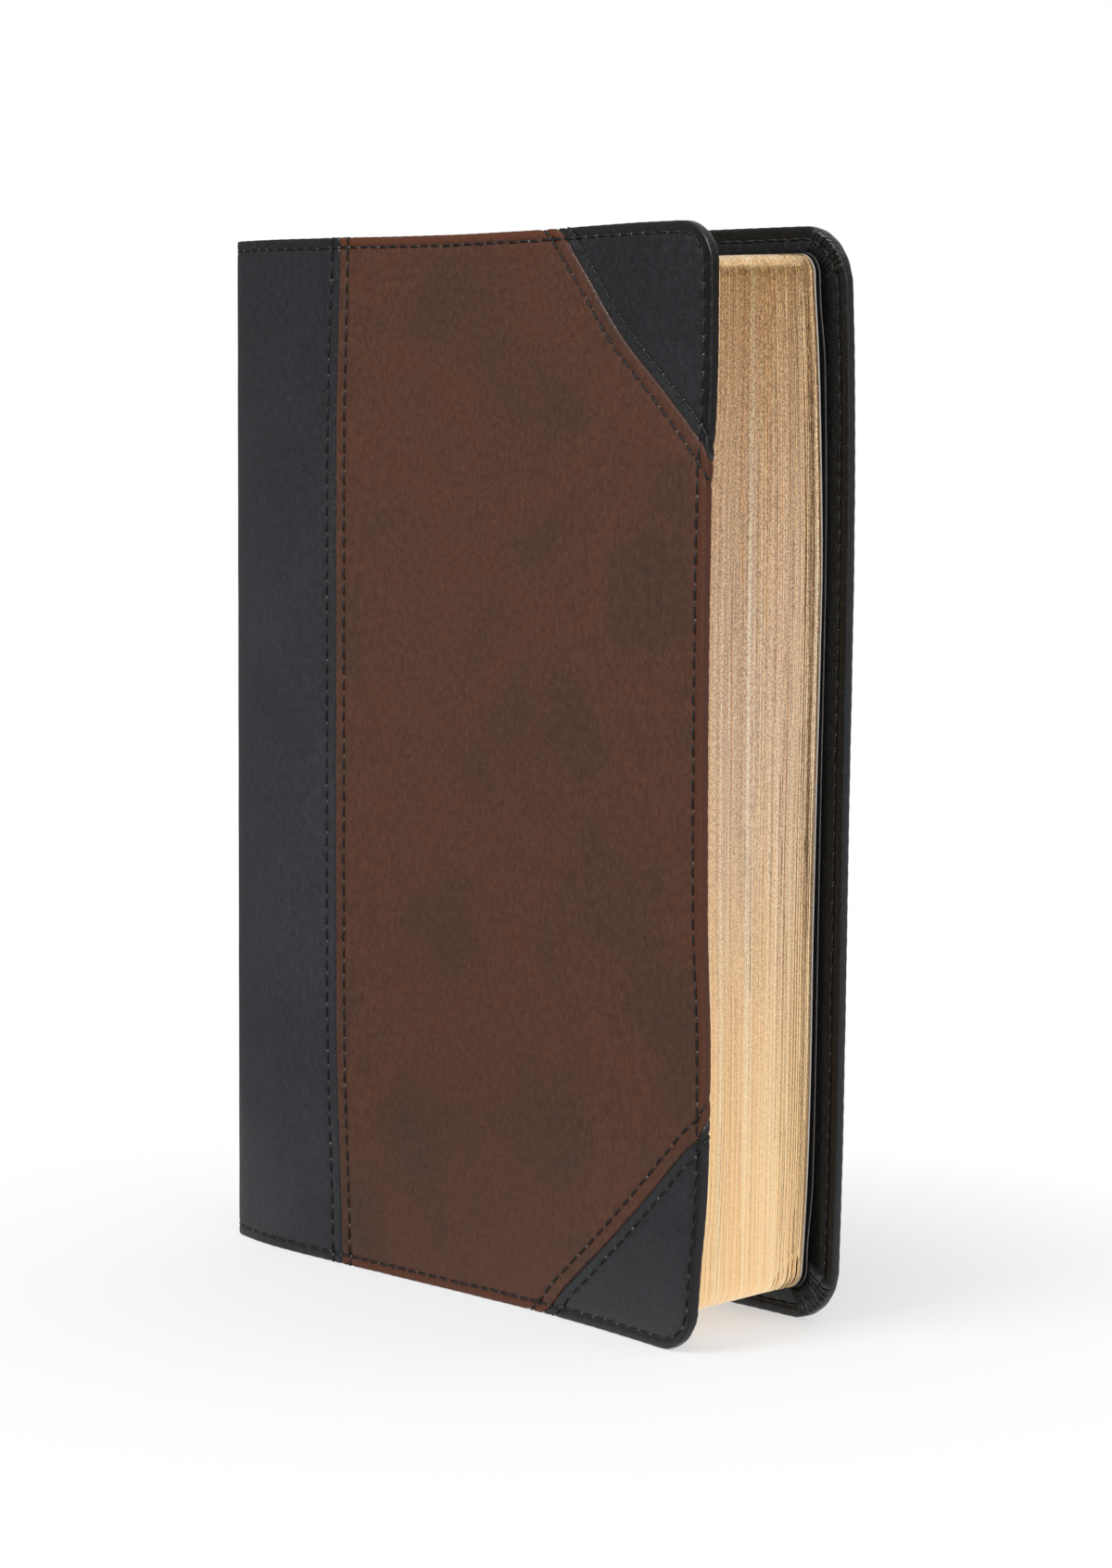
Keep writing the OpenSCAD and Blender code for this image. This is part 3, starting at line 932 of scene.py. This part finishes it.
def edge_stitches(radius):
    """The row round one cover's edge, at a distance from the corners' centres."""
    rows = []
    arc = math.pi / 2 / CORNER_STITCHES
    pitch = radius * arc
    for z, up in ENDS:
        rows += [(PITCH_U * (k + 0.5), z + up * radius, 1, 0, PITCH_U)
                 for k in range(1, SHORT_STITCHES)]
        for a in (np.arange(CORNER_STITCHES) + 0.5) * arc:
            rows.append((CENTRE_U + radius * math.cos(a), z + up * radius * math.sin(a),
                         -math.sin(a), up * math.cos(a), pitch))
    return rows + [(CENTRE_U + radius, CORNER_R + PITCH_Z * (k + 0.5), 0, 1, PITCH_Z)
                   for k in range(LONG_STITCHES)]


def seam_stitches():
    """The rows on both sides of the spine strip's seam, on over the head and tail."""
    return [(SEAM_U + side * SEAM_ROW_OFF, CORNER_R + PITCH_Z * (k + 0.5), 0, 1, PITCH_Z)
            for side in (-1, 1) for k in range(-3, LONG_STITCHES + 3)]


def corner_stitches():
    """Four rows beside the two diagonal seams, on over the cover's edge."""
    rows, unit = [], 1 / math.sqrt(2)
    for up in (1, -1):
        start = COVER_H if up > 0 else 0
        middle = (COVER_W - CORNER_LEG + up * start) / 2
        for row in DIAGONAL_ROWS:
            for k in range(-40, 80):
                # u - up * z is a whole number of stitches at each needle hole
                run = (k + 0.5) * PITCH_Z * unit
                u, z = middle + run + row * unit, up * (middle - run + row * unit)
                if u <= COVER_W + 1.0 and up * (z - start) <= 1.0:
                    rows.append((u, z, unit, -up * unit, PITCH_Z))
    return rows


def thread_piece(name, stitches, surface, shine=1.0):
    points, faces, pinch = stitch_meshes(stitches, surface)
    # The pinch attribute, scaled by shine, marks where the thread's material paints its highlight.
    piece = make_object(name, points, faces, [THREAD], smooth=70,
                        attributes={"pinch": shine * pinch})
    return piece


def cover_threads():
    both_faces = edge_stitches(ROW_R) + edge_stitches(FACE_R + WRAP + FLAP_ROW)
    for side, section, shine in (("front", FRONT, 1.0), ("back", BACK, 0.3)):
        piece = thread_piece(side + "_edge_stitches", both_faces, cover_map(section), shine)
        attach(piece, side + "_cover")
        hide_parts(side + "_edge_thread")
    for kind, stitches in (("seam", seam_stitches()), ("corner", corner_stitches())):
        piece = thread_piece(f"front_{kind}_stitches", stitches, cover_map(FRONT))
        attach(piece, "front_cover")
        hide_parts(f"front_{kind}_thread")


# ---- Spine: strips of leather and lining ----

BODIES = ["front_cover", "first_pages", "second_pages", "third_pages", "rear_pages", "back_cover"]
FOLD_YS = [-HALF_T, -GROUP_T, 0, GROUP_T, HALF_T]
CUT_YS = [-1.5 * GROUP_T, -0.5 * GROUP_T, 0.5 * GROUP_T, 1.5 * GROUP_T]
CLOTH_SHORT = 10                    # how far the spine's cloth stops short of the pages' ends
CLOTH_HALF = 15.6                   # how far it reaches to each side of the middle page
CLOTH_DEPTHS = 0.75, 1.15           # of its faces, below the outside of the thin spine
SPINE_STITCHES = round(2 * SPINE_END / STITCH)
SPINE_PITCH = 2 * SPINE_END / SPINE_STITCHES


def spine_columns():
    """Lines round the spine, four to a stitch, from one cover to the other."""
    inside = SPINE_PITCH * np.arange(0, SPINE_STITCHES * 4 + 1) / 4 - SPINE_END
    flank = SPINE_END + PITCH_U * np.arange(1, 5) / 4
    return np.concatenate([-flank[::-1], inside, flank])


def spine_w(y):
    """The measure round the spine where it is y from the middle page."""
    part = SECTION_STEPS // 3
    u = np.interp(abs(y), np.abs(FRONT.y[:part]), FRONT.u[:part])
    return math.copysign(u + SPINE_END, y)


def spine_dip(w, z):
    flank = np.abs(w) - SPINE_END
    phase = np.where(flank > 0, flank / PITCH_U, (w + SPINE_END) / SPINE_PITCH)
    return edge_dip(0 * w, z, phase) + 0.03 * wander(z + 3 * w, 8, 31)


def spine_map(w, z, h):
    """fold and place_spine together, for the sheet's head and tail edges."""
    _, flat_z, depth = fold(np.full_like(w, -1.0), z, h)
    return place_spine(w, flat_z, depth)


def blend_over(piece, k, ends=None):
    """Bakes a piece's placing into its mesh; it does not bend the piece over fold k. The two
    points in plan, ends, are not used.
    """
    if ends is None:
        x, y = HINGE_X if k in (0, 4) else 0, FOLD_YS[k]
        dx, dy = {0: (-BEND, 0), 4: (BEND, 0)}.get(k, (0, BEND))
        ends = (x - dx, y - dy), (x + dx, y + dy)
    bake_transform(piece)


def spine_leather():
    """The spine's leather in five strips, each with its stitches."""
    ws = spine_columns()
    cuts = [ws[0], *(ws[np.argmin(np.abs(ws - spine_w(y)))] for y in CUT_YS), ws[-1]]
    levels = np.array(EDGE_LEVELS)
    zs = np.concatenate([(CORNER_R - levels)[::-1], np.linspace(CORNER_R, TOP_Z, 61),
                         TOP_Z + levels])
    for k, stood_for in enumerate([(1,), (1, 2), (2, 3), (3, 4), (4,)]):
        columns = ws[(ws >= cuts[k]) & (ws <= cuts[k + 1])]
        piece = leather_piece(f"spine_strip_{k + 1}", spine_map, *lattice(columns, zs),
                              spine_dip, BLACK_LEATHER, strip_painted_light, rim=0)
        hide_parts(*[f"spine_leather_{g}" for g in stood_for])
        blend_over(piece, k)
        thread = thread_piece(f"spine_stitches_{k + 1}", spine_stitches(cuts[k], cuts[k + 1]),
                              spine_map)
        blend_over(thread, k)


def spine_stitches(low, high):
    """The head and tail rows round the spine, on both faces, between two cuts."""
    middles = [SPINE_PITCH * (k + 0.5) - SPINE_END for k in range(SPINE_STITCHES)]
    middles += [side * (SPINE_END + PITCH_U / 2) for side in (-1, 1)]
    return [(w, z + up * radius, 1, 0, SPINE_PITCH)
            for z, up in ENDS
            for radius in (ROW_R, FACE_R + WRAP + FLAP_ROW) for w in middles if low <= w < high]


def spine_lining():
    """The cloth on the backs of the pages, in three strips."""
    cuts = [spine_w(y) for y in (-CLOTH_HALF, *CUT_YS[1:3], CLOTH_HALF)]
    zs = np.linspace(PAGE_Z0 + CLOTH_SHORT, PAGE_Z1 - CLOTH_SHORT, 60)
    for k, stood_for in enumerate([(1,), (2, 3), (4,)]):
        points, faces = lattice(np.linspace(cuts[k], cuts[k + 1], 25), zs)
        top, bottom = (place_spine(*points.T, np.full(len(points), depth * COVER_T / THIN_T))
                       for depth in CLOTH_DEPTHS)
        piece = make_object(f"spine_cloth_{k + 1}", *shell(top, bottom, faces), [MULL])
        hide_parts(*[f"spine_lining_{g}" for g in stood_for])
        blend_over(piece, k + 1)


# ---- Pages ----

SHEAVES = 7                         # sheaves of leaves in a signature
SLOT_STEP = 1.35                    # one leaf in this many millimetres is worn apart
LEAF_START = 12                     # a leaf's first line, which is moved to the pages' backs
GROUP_BODIES = BODIES[1:5]
BAND_R, BAND_TURN = 0.92, 0.9       # a headband's radius, and the pitch of its turns of silk
BAND_RINGS, BAND_SIDES = 46, 12     # of a headband's mesh


def page_lift(y):
    return PAGE_SAG * y / PAGES_T


def page_lean(x, y, z):
    """How far the pages lean towards the back at their fore-edge, more so the last ones."""
    return bow_at(z, PAGE_BOW) * ramp(y, -6, 17) * ramp(x, 40, 190) * 1.25


def page_press(x, y, z):
    """How far the first pages are pressed back, to leave the front cover room to close."""
    u = np.clip(x - HINGE_X, 0, COVER_W)
    cover = front_depth(u) + sway(-1, u, z) - (HALF_T - COVER_T)
    closed = cover + u * math.tan(CLOSING) + 0.12 + 0.45 * ramp(u, 105, 138)
    return np.maximum(closed + PAGES_T / 2 + 2 * LEAF_T, 0) * ramp(-y, -4, PAGES_T / 2)


def leaf_layout():
    """A leaf's flat layout, the way out at each point, and the points round its edge."""
    far, low, high = PAGE_X - PAGE_R, PAGE_Z0 + PAGE_R, PAGE_Z1 - PAGE_R
    us = np.concatenate([[LEAF_START, 13, 15], np.linspace(20, far, 14)])
    zs = np.concatenate([low + 0.7 * np.arange(8), np.linspace(low + 6, high, 62)])
    points, faces = layout_arrays(panel_layout(us, zs, [PAGE_R / 2, PAGE_R], 14))
    base = np.stack([np.minimum(points[:, 0], far), np.clip(points[:, 1], low, high)], -1)
    following = dict(open_edges(faces))
    loop = [min(following)]
    while following[loop[-1]] != loop[0]:
        loop.append(following[loop[-1]])
    on_edge = np.zeros((len(points), 1), bool)
    on_edge[loop] = True
    return points, faces, (points - base) / PAGE_R * on_edge, loop


LEAF, LEAF_FACES, LEAF_OUT, LEAF_LOOP = leaf_layout()
LEAF_RUN = np.arctan2(LEAF[:, 1] - COVER_H / 2, LEAF[:, 0] - 90) * 90


def leaf_points(y, lift, shrink, bow=0.0):
    """One level of a block of leaves, its cut edges drawn in by shrink."""
    back = np.interp(abs(y), BACK_Y, BACK_X)
    x = LEAF[:, 0] - LEAF_OUT[:, 0] * shrink
    x = x - FORE_HOLLOW * (1 - (y / PAGES_T * 2) ** 2) * ramp(x, 100, PAGE_X)
    x = np.where(LEAF[:, 0] < LEAF_START + 0.5, back, x)
    z = LEAF[:, 1] - LEAF_OUT[:, 1] * shrink + lift
    moved = page_lean(x, y, z) + page_press(x, y, z) + bow * ramp(x, 40, PAGE_X)
    return np.stack([x, y + moved, z], -1)


def leaf_stack(levels):
    """A closed block through levels of leaf points, and its faces' kinds: 0 for cut edges and
    1 for the open leaves at its ends."""
    n, m = len(LEAF), len(LEAF_LOOP)
    loop = np.array(LEAF_LOOP)
    points = np.concatenate([levels[0], levels[-1]] + [v[LEAF_LOOP] for v in levels[1:-1]])
    rings = [loop, *(2 * n + k * m + np.arange(m) for k in range(len(levels) - 2)), loop + n]
    sides = [[low[i], low[(i + 1) % m], high[(i + 1) % m], high[i]]
             for low, high in zip(rings, rings[1:]) for i in range(m)]
    ends = [f[::-1] for f in LEAF_FACES] + [[i + n for i in f] for f in LEAF_FACES]
    return points, turned_out(points, sides + ends), [0] * len(sides) + [1] * len(ends)


def parted(y):
    """Where the leaves near y are worn apart at their tail corner, up to 1."""
    high, tall = 1.7 + 0.2 * max(y - 7, 0), 1.2 + 0.2 * max(y - 7, 0)
    return bump(LEAF[:, 1] - PAGE_Z0 - high, tall) * ramp(LEAF[:, 0], 138, 143)


def sheaf_levels(group):
    """The levels of one group's sheaves of leaves, which stand in and out, and how far each
    of their points is drawn into a slot between worn leaves."""
    thick = PAGES_T / SIGNATURES
    levels, slots = [], []
    for number in range(4 * group, 4 * group + 4):
        y0 = -PAGES_T / 2 + number * thick
        cuts = np.cumsum(rng.uniform(0.6, 1.4, SHEAVES))
        cuts = np.concatenate([[0], cuts / cuts[-1]]) * thick + y0
        for k in range(SHEAVES):
            low, high = cuts[k], cuts[k + 1]
            wave = wander(LEAF_RUN, number * SHEAVES + k, 190)
            worn = ramp(low, 6.5, 10) * (low // SLOT_STEP != high // SLOT_STEP)
            slot = worn * rng.uniform(0.75, 1) * parted(low)
            ease = 0.03 * abs(rng.normal()) + 0.012 * (1 + wave) + 1.8 * slot
            groove = ease + (0.07 if k == 0 else 0.04)
            lip = (high - low) * 0.13
            for y, shrink in ((low, groove), (low + lip, ease), (high - lip, ease)):
                levels.append(leaf_points(y, page_lift(y), shrink))
                slots.append(slot)
    levels.append(leaf_points(high, page_lift(high), ease + 0.04))
    return levels, slots + [0 * slot]


def page_groups():
    for g in range(4):
        levels, slots = sheaf_levels(g)
        points, faces, kinds = leaf_stack(levels)
        inner = [v[LEAF_LOOP] for v in slots[1:-1]]
        depth = np.concatenate([slots[0], slots[-1]] + inner)
        # The slot attribute darkens the gilt in the slits between worn leaves: painted shade.
        piece = make_object(f"gilt_pages_{g + 1}", points, faces, [GILT, PAGE_PAPER], smooth=40,
                            slots=kinds, attributes={"slot": np.clip(2.5 * depth, 0, 1)})
        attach(piece, GROUP_BODIES[g])
        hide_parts(*[f"signature_{n:02d}" for n in range(4 * g + 1, 4 * g + 5)])


def end_leaves():
    """The plain white leaf and the black flyleaf at each end of the pages."""
    z = LEAF[:, 1]
    room = 0.98 + bow_at(z, BACK_BOW) - bow_at(z, PAGE_BOW)
    room = room - math.tan(BACK_CLOSING) * (PAGE_X - HINGE_X)
    pleats = 0.8 * (1 + ramp(z, 196, 210) - ramp(z, 14, 28))
    for name, side, body, fly_bow in (("front", -1, "first_pages", 0.0),
                                      ("back", 1, "rear_pages", 0.78 * room - pleats)):
        y = side * PAGES_T / 2
        for kind, y0, bow, materials, slot, shrink in (
            ("endleaf", y, 0.0, [WHITE_PAPER], "white_paper", 0.0),
            ("flyleaf", y + side * LEAF_T, fly_bow, [BLACK_PAPER_EDGE_HIGHLIGHT, BLACK_PAPER], "black_paper",
             -0.3),
        ):
            levels = [leaf_points(y0 + side * t, page_lift(y), shrink, side * bow)
                      for t in (0.01, LEAF_T / 2, LEAF_T - 0.02)]
            points, faces, kinds = leaf_stack(levels)
            piece = make_object(f"{name}_{kind}_sheet", points, faces, materials,
                                slots=kinds if len(materials) > 1 else None)
            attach(piece, body)
            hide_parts(f"{name}_{kind}")


def headbands():
    """A rolled, sewn band at the head and tail of each group of pages."""
    a = np.linspace(0, 2 * math.pi, BAND_SIDES, endpoint=False)
    for g in range(4):
        y0, y1 = (g - 2) * GROUP_T, (g - 1) * GROUP_T
        points, faces = np.zeros((0, 3)), []
        for z, up in ((PAGE_Z1 + page_lift(y1 - 1), 1), (PAGE_Z0 + page_lift(y0 + 1), -1)):
            rings = []
            for y in np.linspace(y0, y1, BAND_RINGS):
                r = BAND_R + 0.09 * abs(math.sin(math.pi * y / BAND_TURN))
                x = np.interp(abs(y), BACK_Y, BACK_X) + 1.1 + 1.05 * r * np.cos(a)
                rings.append(np.stack([x, 0 * a + y, z + up * 0.75 + 0.95 * r * np.sin(a)], -1))
            rings = np.concatenate(rings)
            closed = turned_out(rings, ring_faces(BAND_RINGS, BAND_SIDES))
            faces += [[i + len(points) for i in f] for f in closed]
            points = np.concatenate([points, rings])
        piece = make_object(f"headband_roll_{g + 1}", points, faces, [HEADBAND])
        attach(piece, GROUP_BODIES[g])
        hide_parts(f"headbands_{g + 1}")


def joint_papers():
    """Black paper folded into each joint, from the lining across to the flyleaf."""
    lining, flyleaf = HALF_T - 2.03, HALF_T - 2.5
    middle, half = (lining + flyleaf) / 2, (lining - flyleaf) / 2
    for side, name, k in ((-1, "front", 0), (1, "back", 4)):
        line = [(x, lining) for x in (8, 6, 4, 3)]
        line += [(2.6 - 0.25 * math.sin(a), middle + half * math.cos(a))
                 for a in np.linspace(0, math.pi, 13)]
        line += [(x, flyleaf) for x in (3, 4, 6, 8)]
        line = np.array([(HINGE_X + x, side * y) for x, y in line])
        tangent = np.gradient(line, axis=0)
        tangent /= np.hypot(*tangent.T)[:, None]
        normal = np.stack([-tangent[:, 1], tangent[:, 0]], -1) * 0.05
        zs = np.linspace(PAGE_Z0 + 8, PAGE_Z1 - 8, 40)
        points, faces = lattice(np.arange(len(line)), zs)
        index, z = points[:, 0].astype(int), points[:, 1]
        top, bottom = (np.stack([*(line + way * normal)[index].T, z], -1) for way in (1, -1))
        piece = make_object(name + "_joint_paper", *shell(top, bottom, faces), [BLACK_PAPER])
        ends = [(HINGE_X + 3, side * (HALF_T - depth)) for depth in (2.05, 2.48)]
        blend_over(piece, k, ends[::-side])


# ---- Stage ----

VIEW_AZIMUTH = 47.66
FLOOR_HALF = 6.0


def floor_material():
    """White where it is seen, but for the book's shadow on it, and pale to its light. Gloss
    sees the side of the floor that lies before the cover as half as bright."""
    n = new_material("pale floor")
    azimuth = math.radians(VIEW_AZIMUTH)
    side = n.add("VectorMath", "Value", {0: n.place(), 1: (math.sin(azimuth), math.cos(azimuth), 0)},
                 operation="DOT_PRODUCT")
    far = n.add("VectorMath", "Value", {0: n.place()}, operation="LENGTH")
    strength = n.math("MAXIMUM", n.span(side, -0.06, 0.04, 0.5, 1.0), n.ray("Camera"))
    share = n.math("MAXIMUM", n.span(far, 0.06, 0.18, 0.5, 1.0),
                   n.math("SUBTRACT", 1.0, n.ray("Camera")))
    n.surface(Base_Color=(0.93,) * 3, Roughness=0.9, Specular_IOR_Level=0.0)
    return n.output(n.add("MixShader", inputs={
        0: n.math("MULTIPLY", n.seen(), share), 1: n.tree.nodes["Principled BSDF"].outputs[0],
        2: n.add("Emission", inputs={"Strength": strength})}))


def stage_object(name, corners, material):
    mesh = bpy.data.meshes.new(name)
    mesh.from_pydata(corners, [], [(0, 1, 2, 3)])
    mesh.materials.append(material)
    thing = add_object(name, mesh)
    return thing


def card_material(name, top, bands, *stops):
    """A studio card that glows, with its own colours by height and upright bands."""
    n = new_material(name)
    band = n.texture(9.0, (1, 1, 0.02), detail=1.0)
    color = n.mix(bands, n.colors(n.span(n.axis("Z"), 0, top, 0, 1), *stops),
                  n.colors(band, (0.4, 0.7), (0.5, 1.0), (0.62, 1.6)), "MULTIPLY")
    return n.output(n.add("Emission", inputs={"Color": color}))


def stage_card(name, direction, distance, width, height, material):
    """An upright card that faces the book and shows in gloss only, in the direction in
    degrees from +Y towards +X."""
    angle = math.radians(direction)
    away = np.array([math.sin(angle), math.cos(angle)])
    across = np.array([away[1], -away[0]]) * width / 2
    corners = [(*(away * distance + across * side), z)
               for side, z in ((-1, 0.001), (1, 0.001), (1, height), (-1, height))]
    card = stage_object(name, corners, material)
    card.visible_camera = card.visible_diffuse = card.visible_shadow = False
    card.visible_transmission = False


def build_stage():
    corners = [(x * FLOOR_HALF, y * FLOOR_HALF, 0) for x, y in ((-1, -1), (1, -1), (1, 1), (-1, 1))]
    stage_object("floor", corners, floor_material())
    stage_card("gilt_card", VIEW_AZIMUTH, 0.5, 1.1, 1.4, card_material(
        "card beside the gilt", 0.25, 0.7,
        (0.0, (1.04, 0.88, 0.82)), (0.19, (0.75, 0.82, 1.1)), (0.43, (0.95, 0.93, 1.2)),
        (0.66, (0.58, 0.55, 0.66)), (0.84, (0.72, 0.56, 0.44)), (0.98, (0.3, 0.24, 0.18))))
    stage_card("cover_card", 180 + VIEW_AZIMUTH, 0.2, 1.4, 1.2, card_material(
        "card beside the cover", 0.3, 0.0, (0.0, 0.2), (0.45, 0.3), (0.8, 0.16)))
    stage_card("camera_card", 152, 0.35, 0.28, 0.4, card_material(
        "card beside the camera", 0.3, 0.0, (0.0, 0.08), (1.0, 0.08)))


def build_world():
    n = Nodes(bpy.data.worlds.new("studio"))
    bpy.context.scene.world = n.owner
    n.put(n.tree.nodes["Background"].inputs["Color"],
          n.mix(n.seen(), (0.62, 0.63, 0.65), (1.0, 1.0, 1.0)))


def area_lamp(name, place_at, aim_at, size, power, gloss_only=False):
    data = bpy.data.lights.new(name, "AREA")
    data.shape = "DISK"
    data.size = size
    data.energy = power
    lamp = add_object(name, data)
    lamp.location = place_at
    lamp.visible_diffuse = not gloss_only
    lamp.rotation_euler = (Vector(aim_at) - Vector(place_at)).to_track_quat("-Z", "Y").to_euler()
    return lamp


def strip_lamp(name, place_at, aim_at, along, length, width, power):
    """A long lamp that only gloss shows, for the bright lines on the covers' rounded edges.
    It is made last, because it lights the pieces of leather and thread alone."""
    away = (Vector(place_at) - Vector(aim_at)).normalized()
    across = away.cross(Vector(along)).normalized()
    lamp = area_lamp(name, place_at, aim_at, length, power, gloss_only=True)
    lamp.data.shape = "RECTANGLE"
    lamp.data.size_y = width
    lamp.rotation_euler = Matrix((across.cross(away), across, away)).transposed().to_euler()
    lit = lamp.light_linking.receiver_collection = bpy.data.collections.new("leather and thread")
    shown_in = {BLACK_LEATHER, BROWN_LEATHER, THREAD}
    for piece in bpy.context.scene.objects:
        if piece.type == "MESH" and shown_in & set(piece.data.materials):
            lit.objects.link(piece)


def build_camera():
    azimuth, elevation, distance = math.radians(VIEW_AZIMUTH), math.radians(5.27), 0.918
    roll, sideways = math.radians(0.3), 0.00058
    target = Vector((-0.0255, 0.03487, 0.1035))
    target += sideways * Vector((math.cos(azimuth), math.sin(azimuth), 0))
    back = Vector((math.sin(azimuth) * math.cos(elevation), -math.cos(azimuth) * math.cos(elevation),
                   math.sin(elevation)))
    data = bpy.data.cameras.new("camera")
    data.sensor_fit = "AUTO"
    data.sensor_width = 36
    data.lens = 93.96
    camera = add_object("camera", data)
    camera.location = target + back * distance
    turn = (-back).to_track_quat("-Z", "Y") @ Quaternion((0, 0, 1), roll)
    camera.rotation_euler = turn.to_euler()
    bpy.context.scene.camera = camera


# ---- Everything ----

build_camera()
build_world()
build_stage()
area_lamp("key", (-0.25, -1.7, 1.5), (0, 0, 0.1), size=1.2, power=26)
area_lamp("fill", (1.6, -0.3, 0.9), (0, 0, 0.1), size=1.4, power=5)
area_lamp("rim", (0.3, 1.05, 1.15), (0, 0, 0.15), size=0.3, power=4, gloss_only=True)
front_leather()
back_leather()
boards_and_linings()
cover_threads()
spine_leather()
spine_lining()
page_groups()
end_leaves()
headbands()
joint_papers()
for group in range(1, 5):
    tape = frame["nodes"][f"sewing_tapes_{group}"]
    tape.data.materials.clear()
    tape.data.materials.append(LINEN)

strip_lamp("strip", (0.5, -0.67, 0.97), (0.06, -0.01, 0.21), along=(-0.52, 0.18, 0.48),
           length=1.0, width=0.2, power=24)

bpy.context.scene.view_settings.view_transform = "Standard"
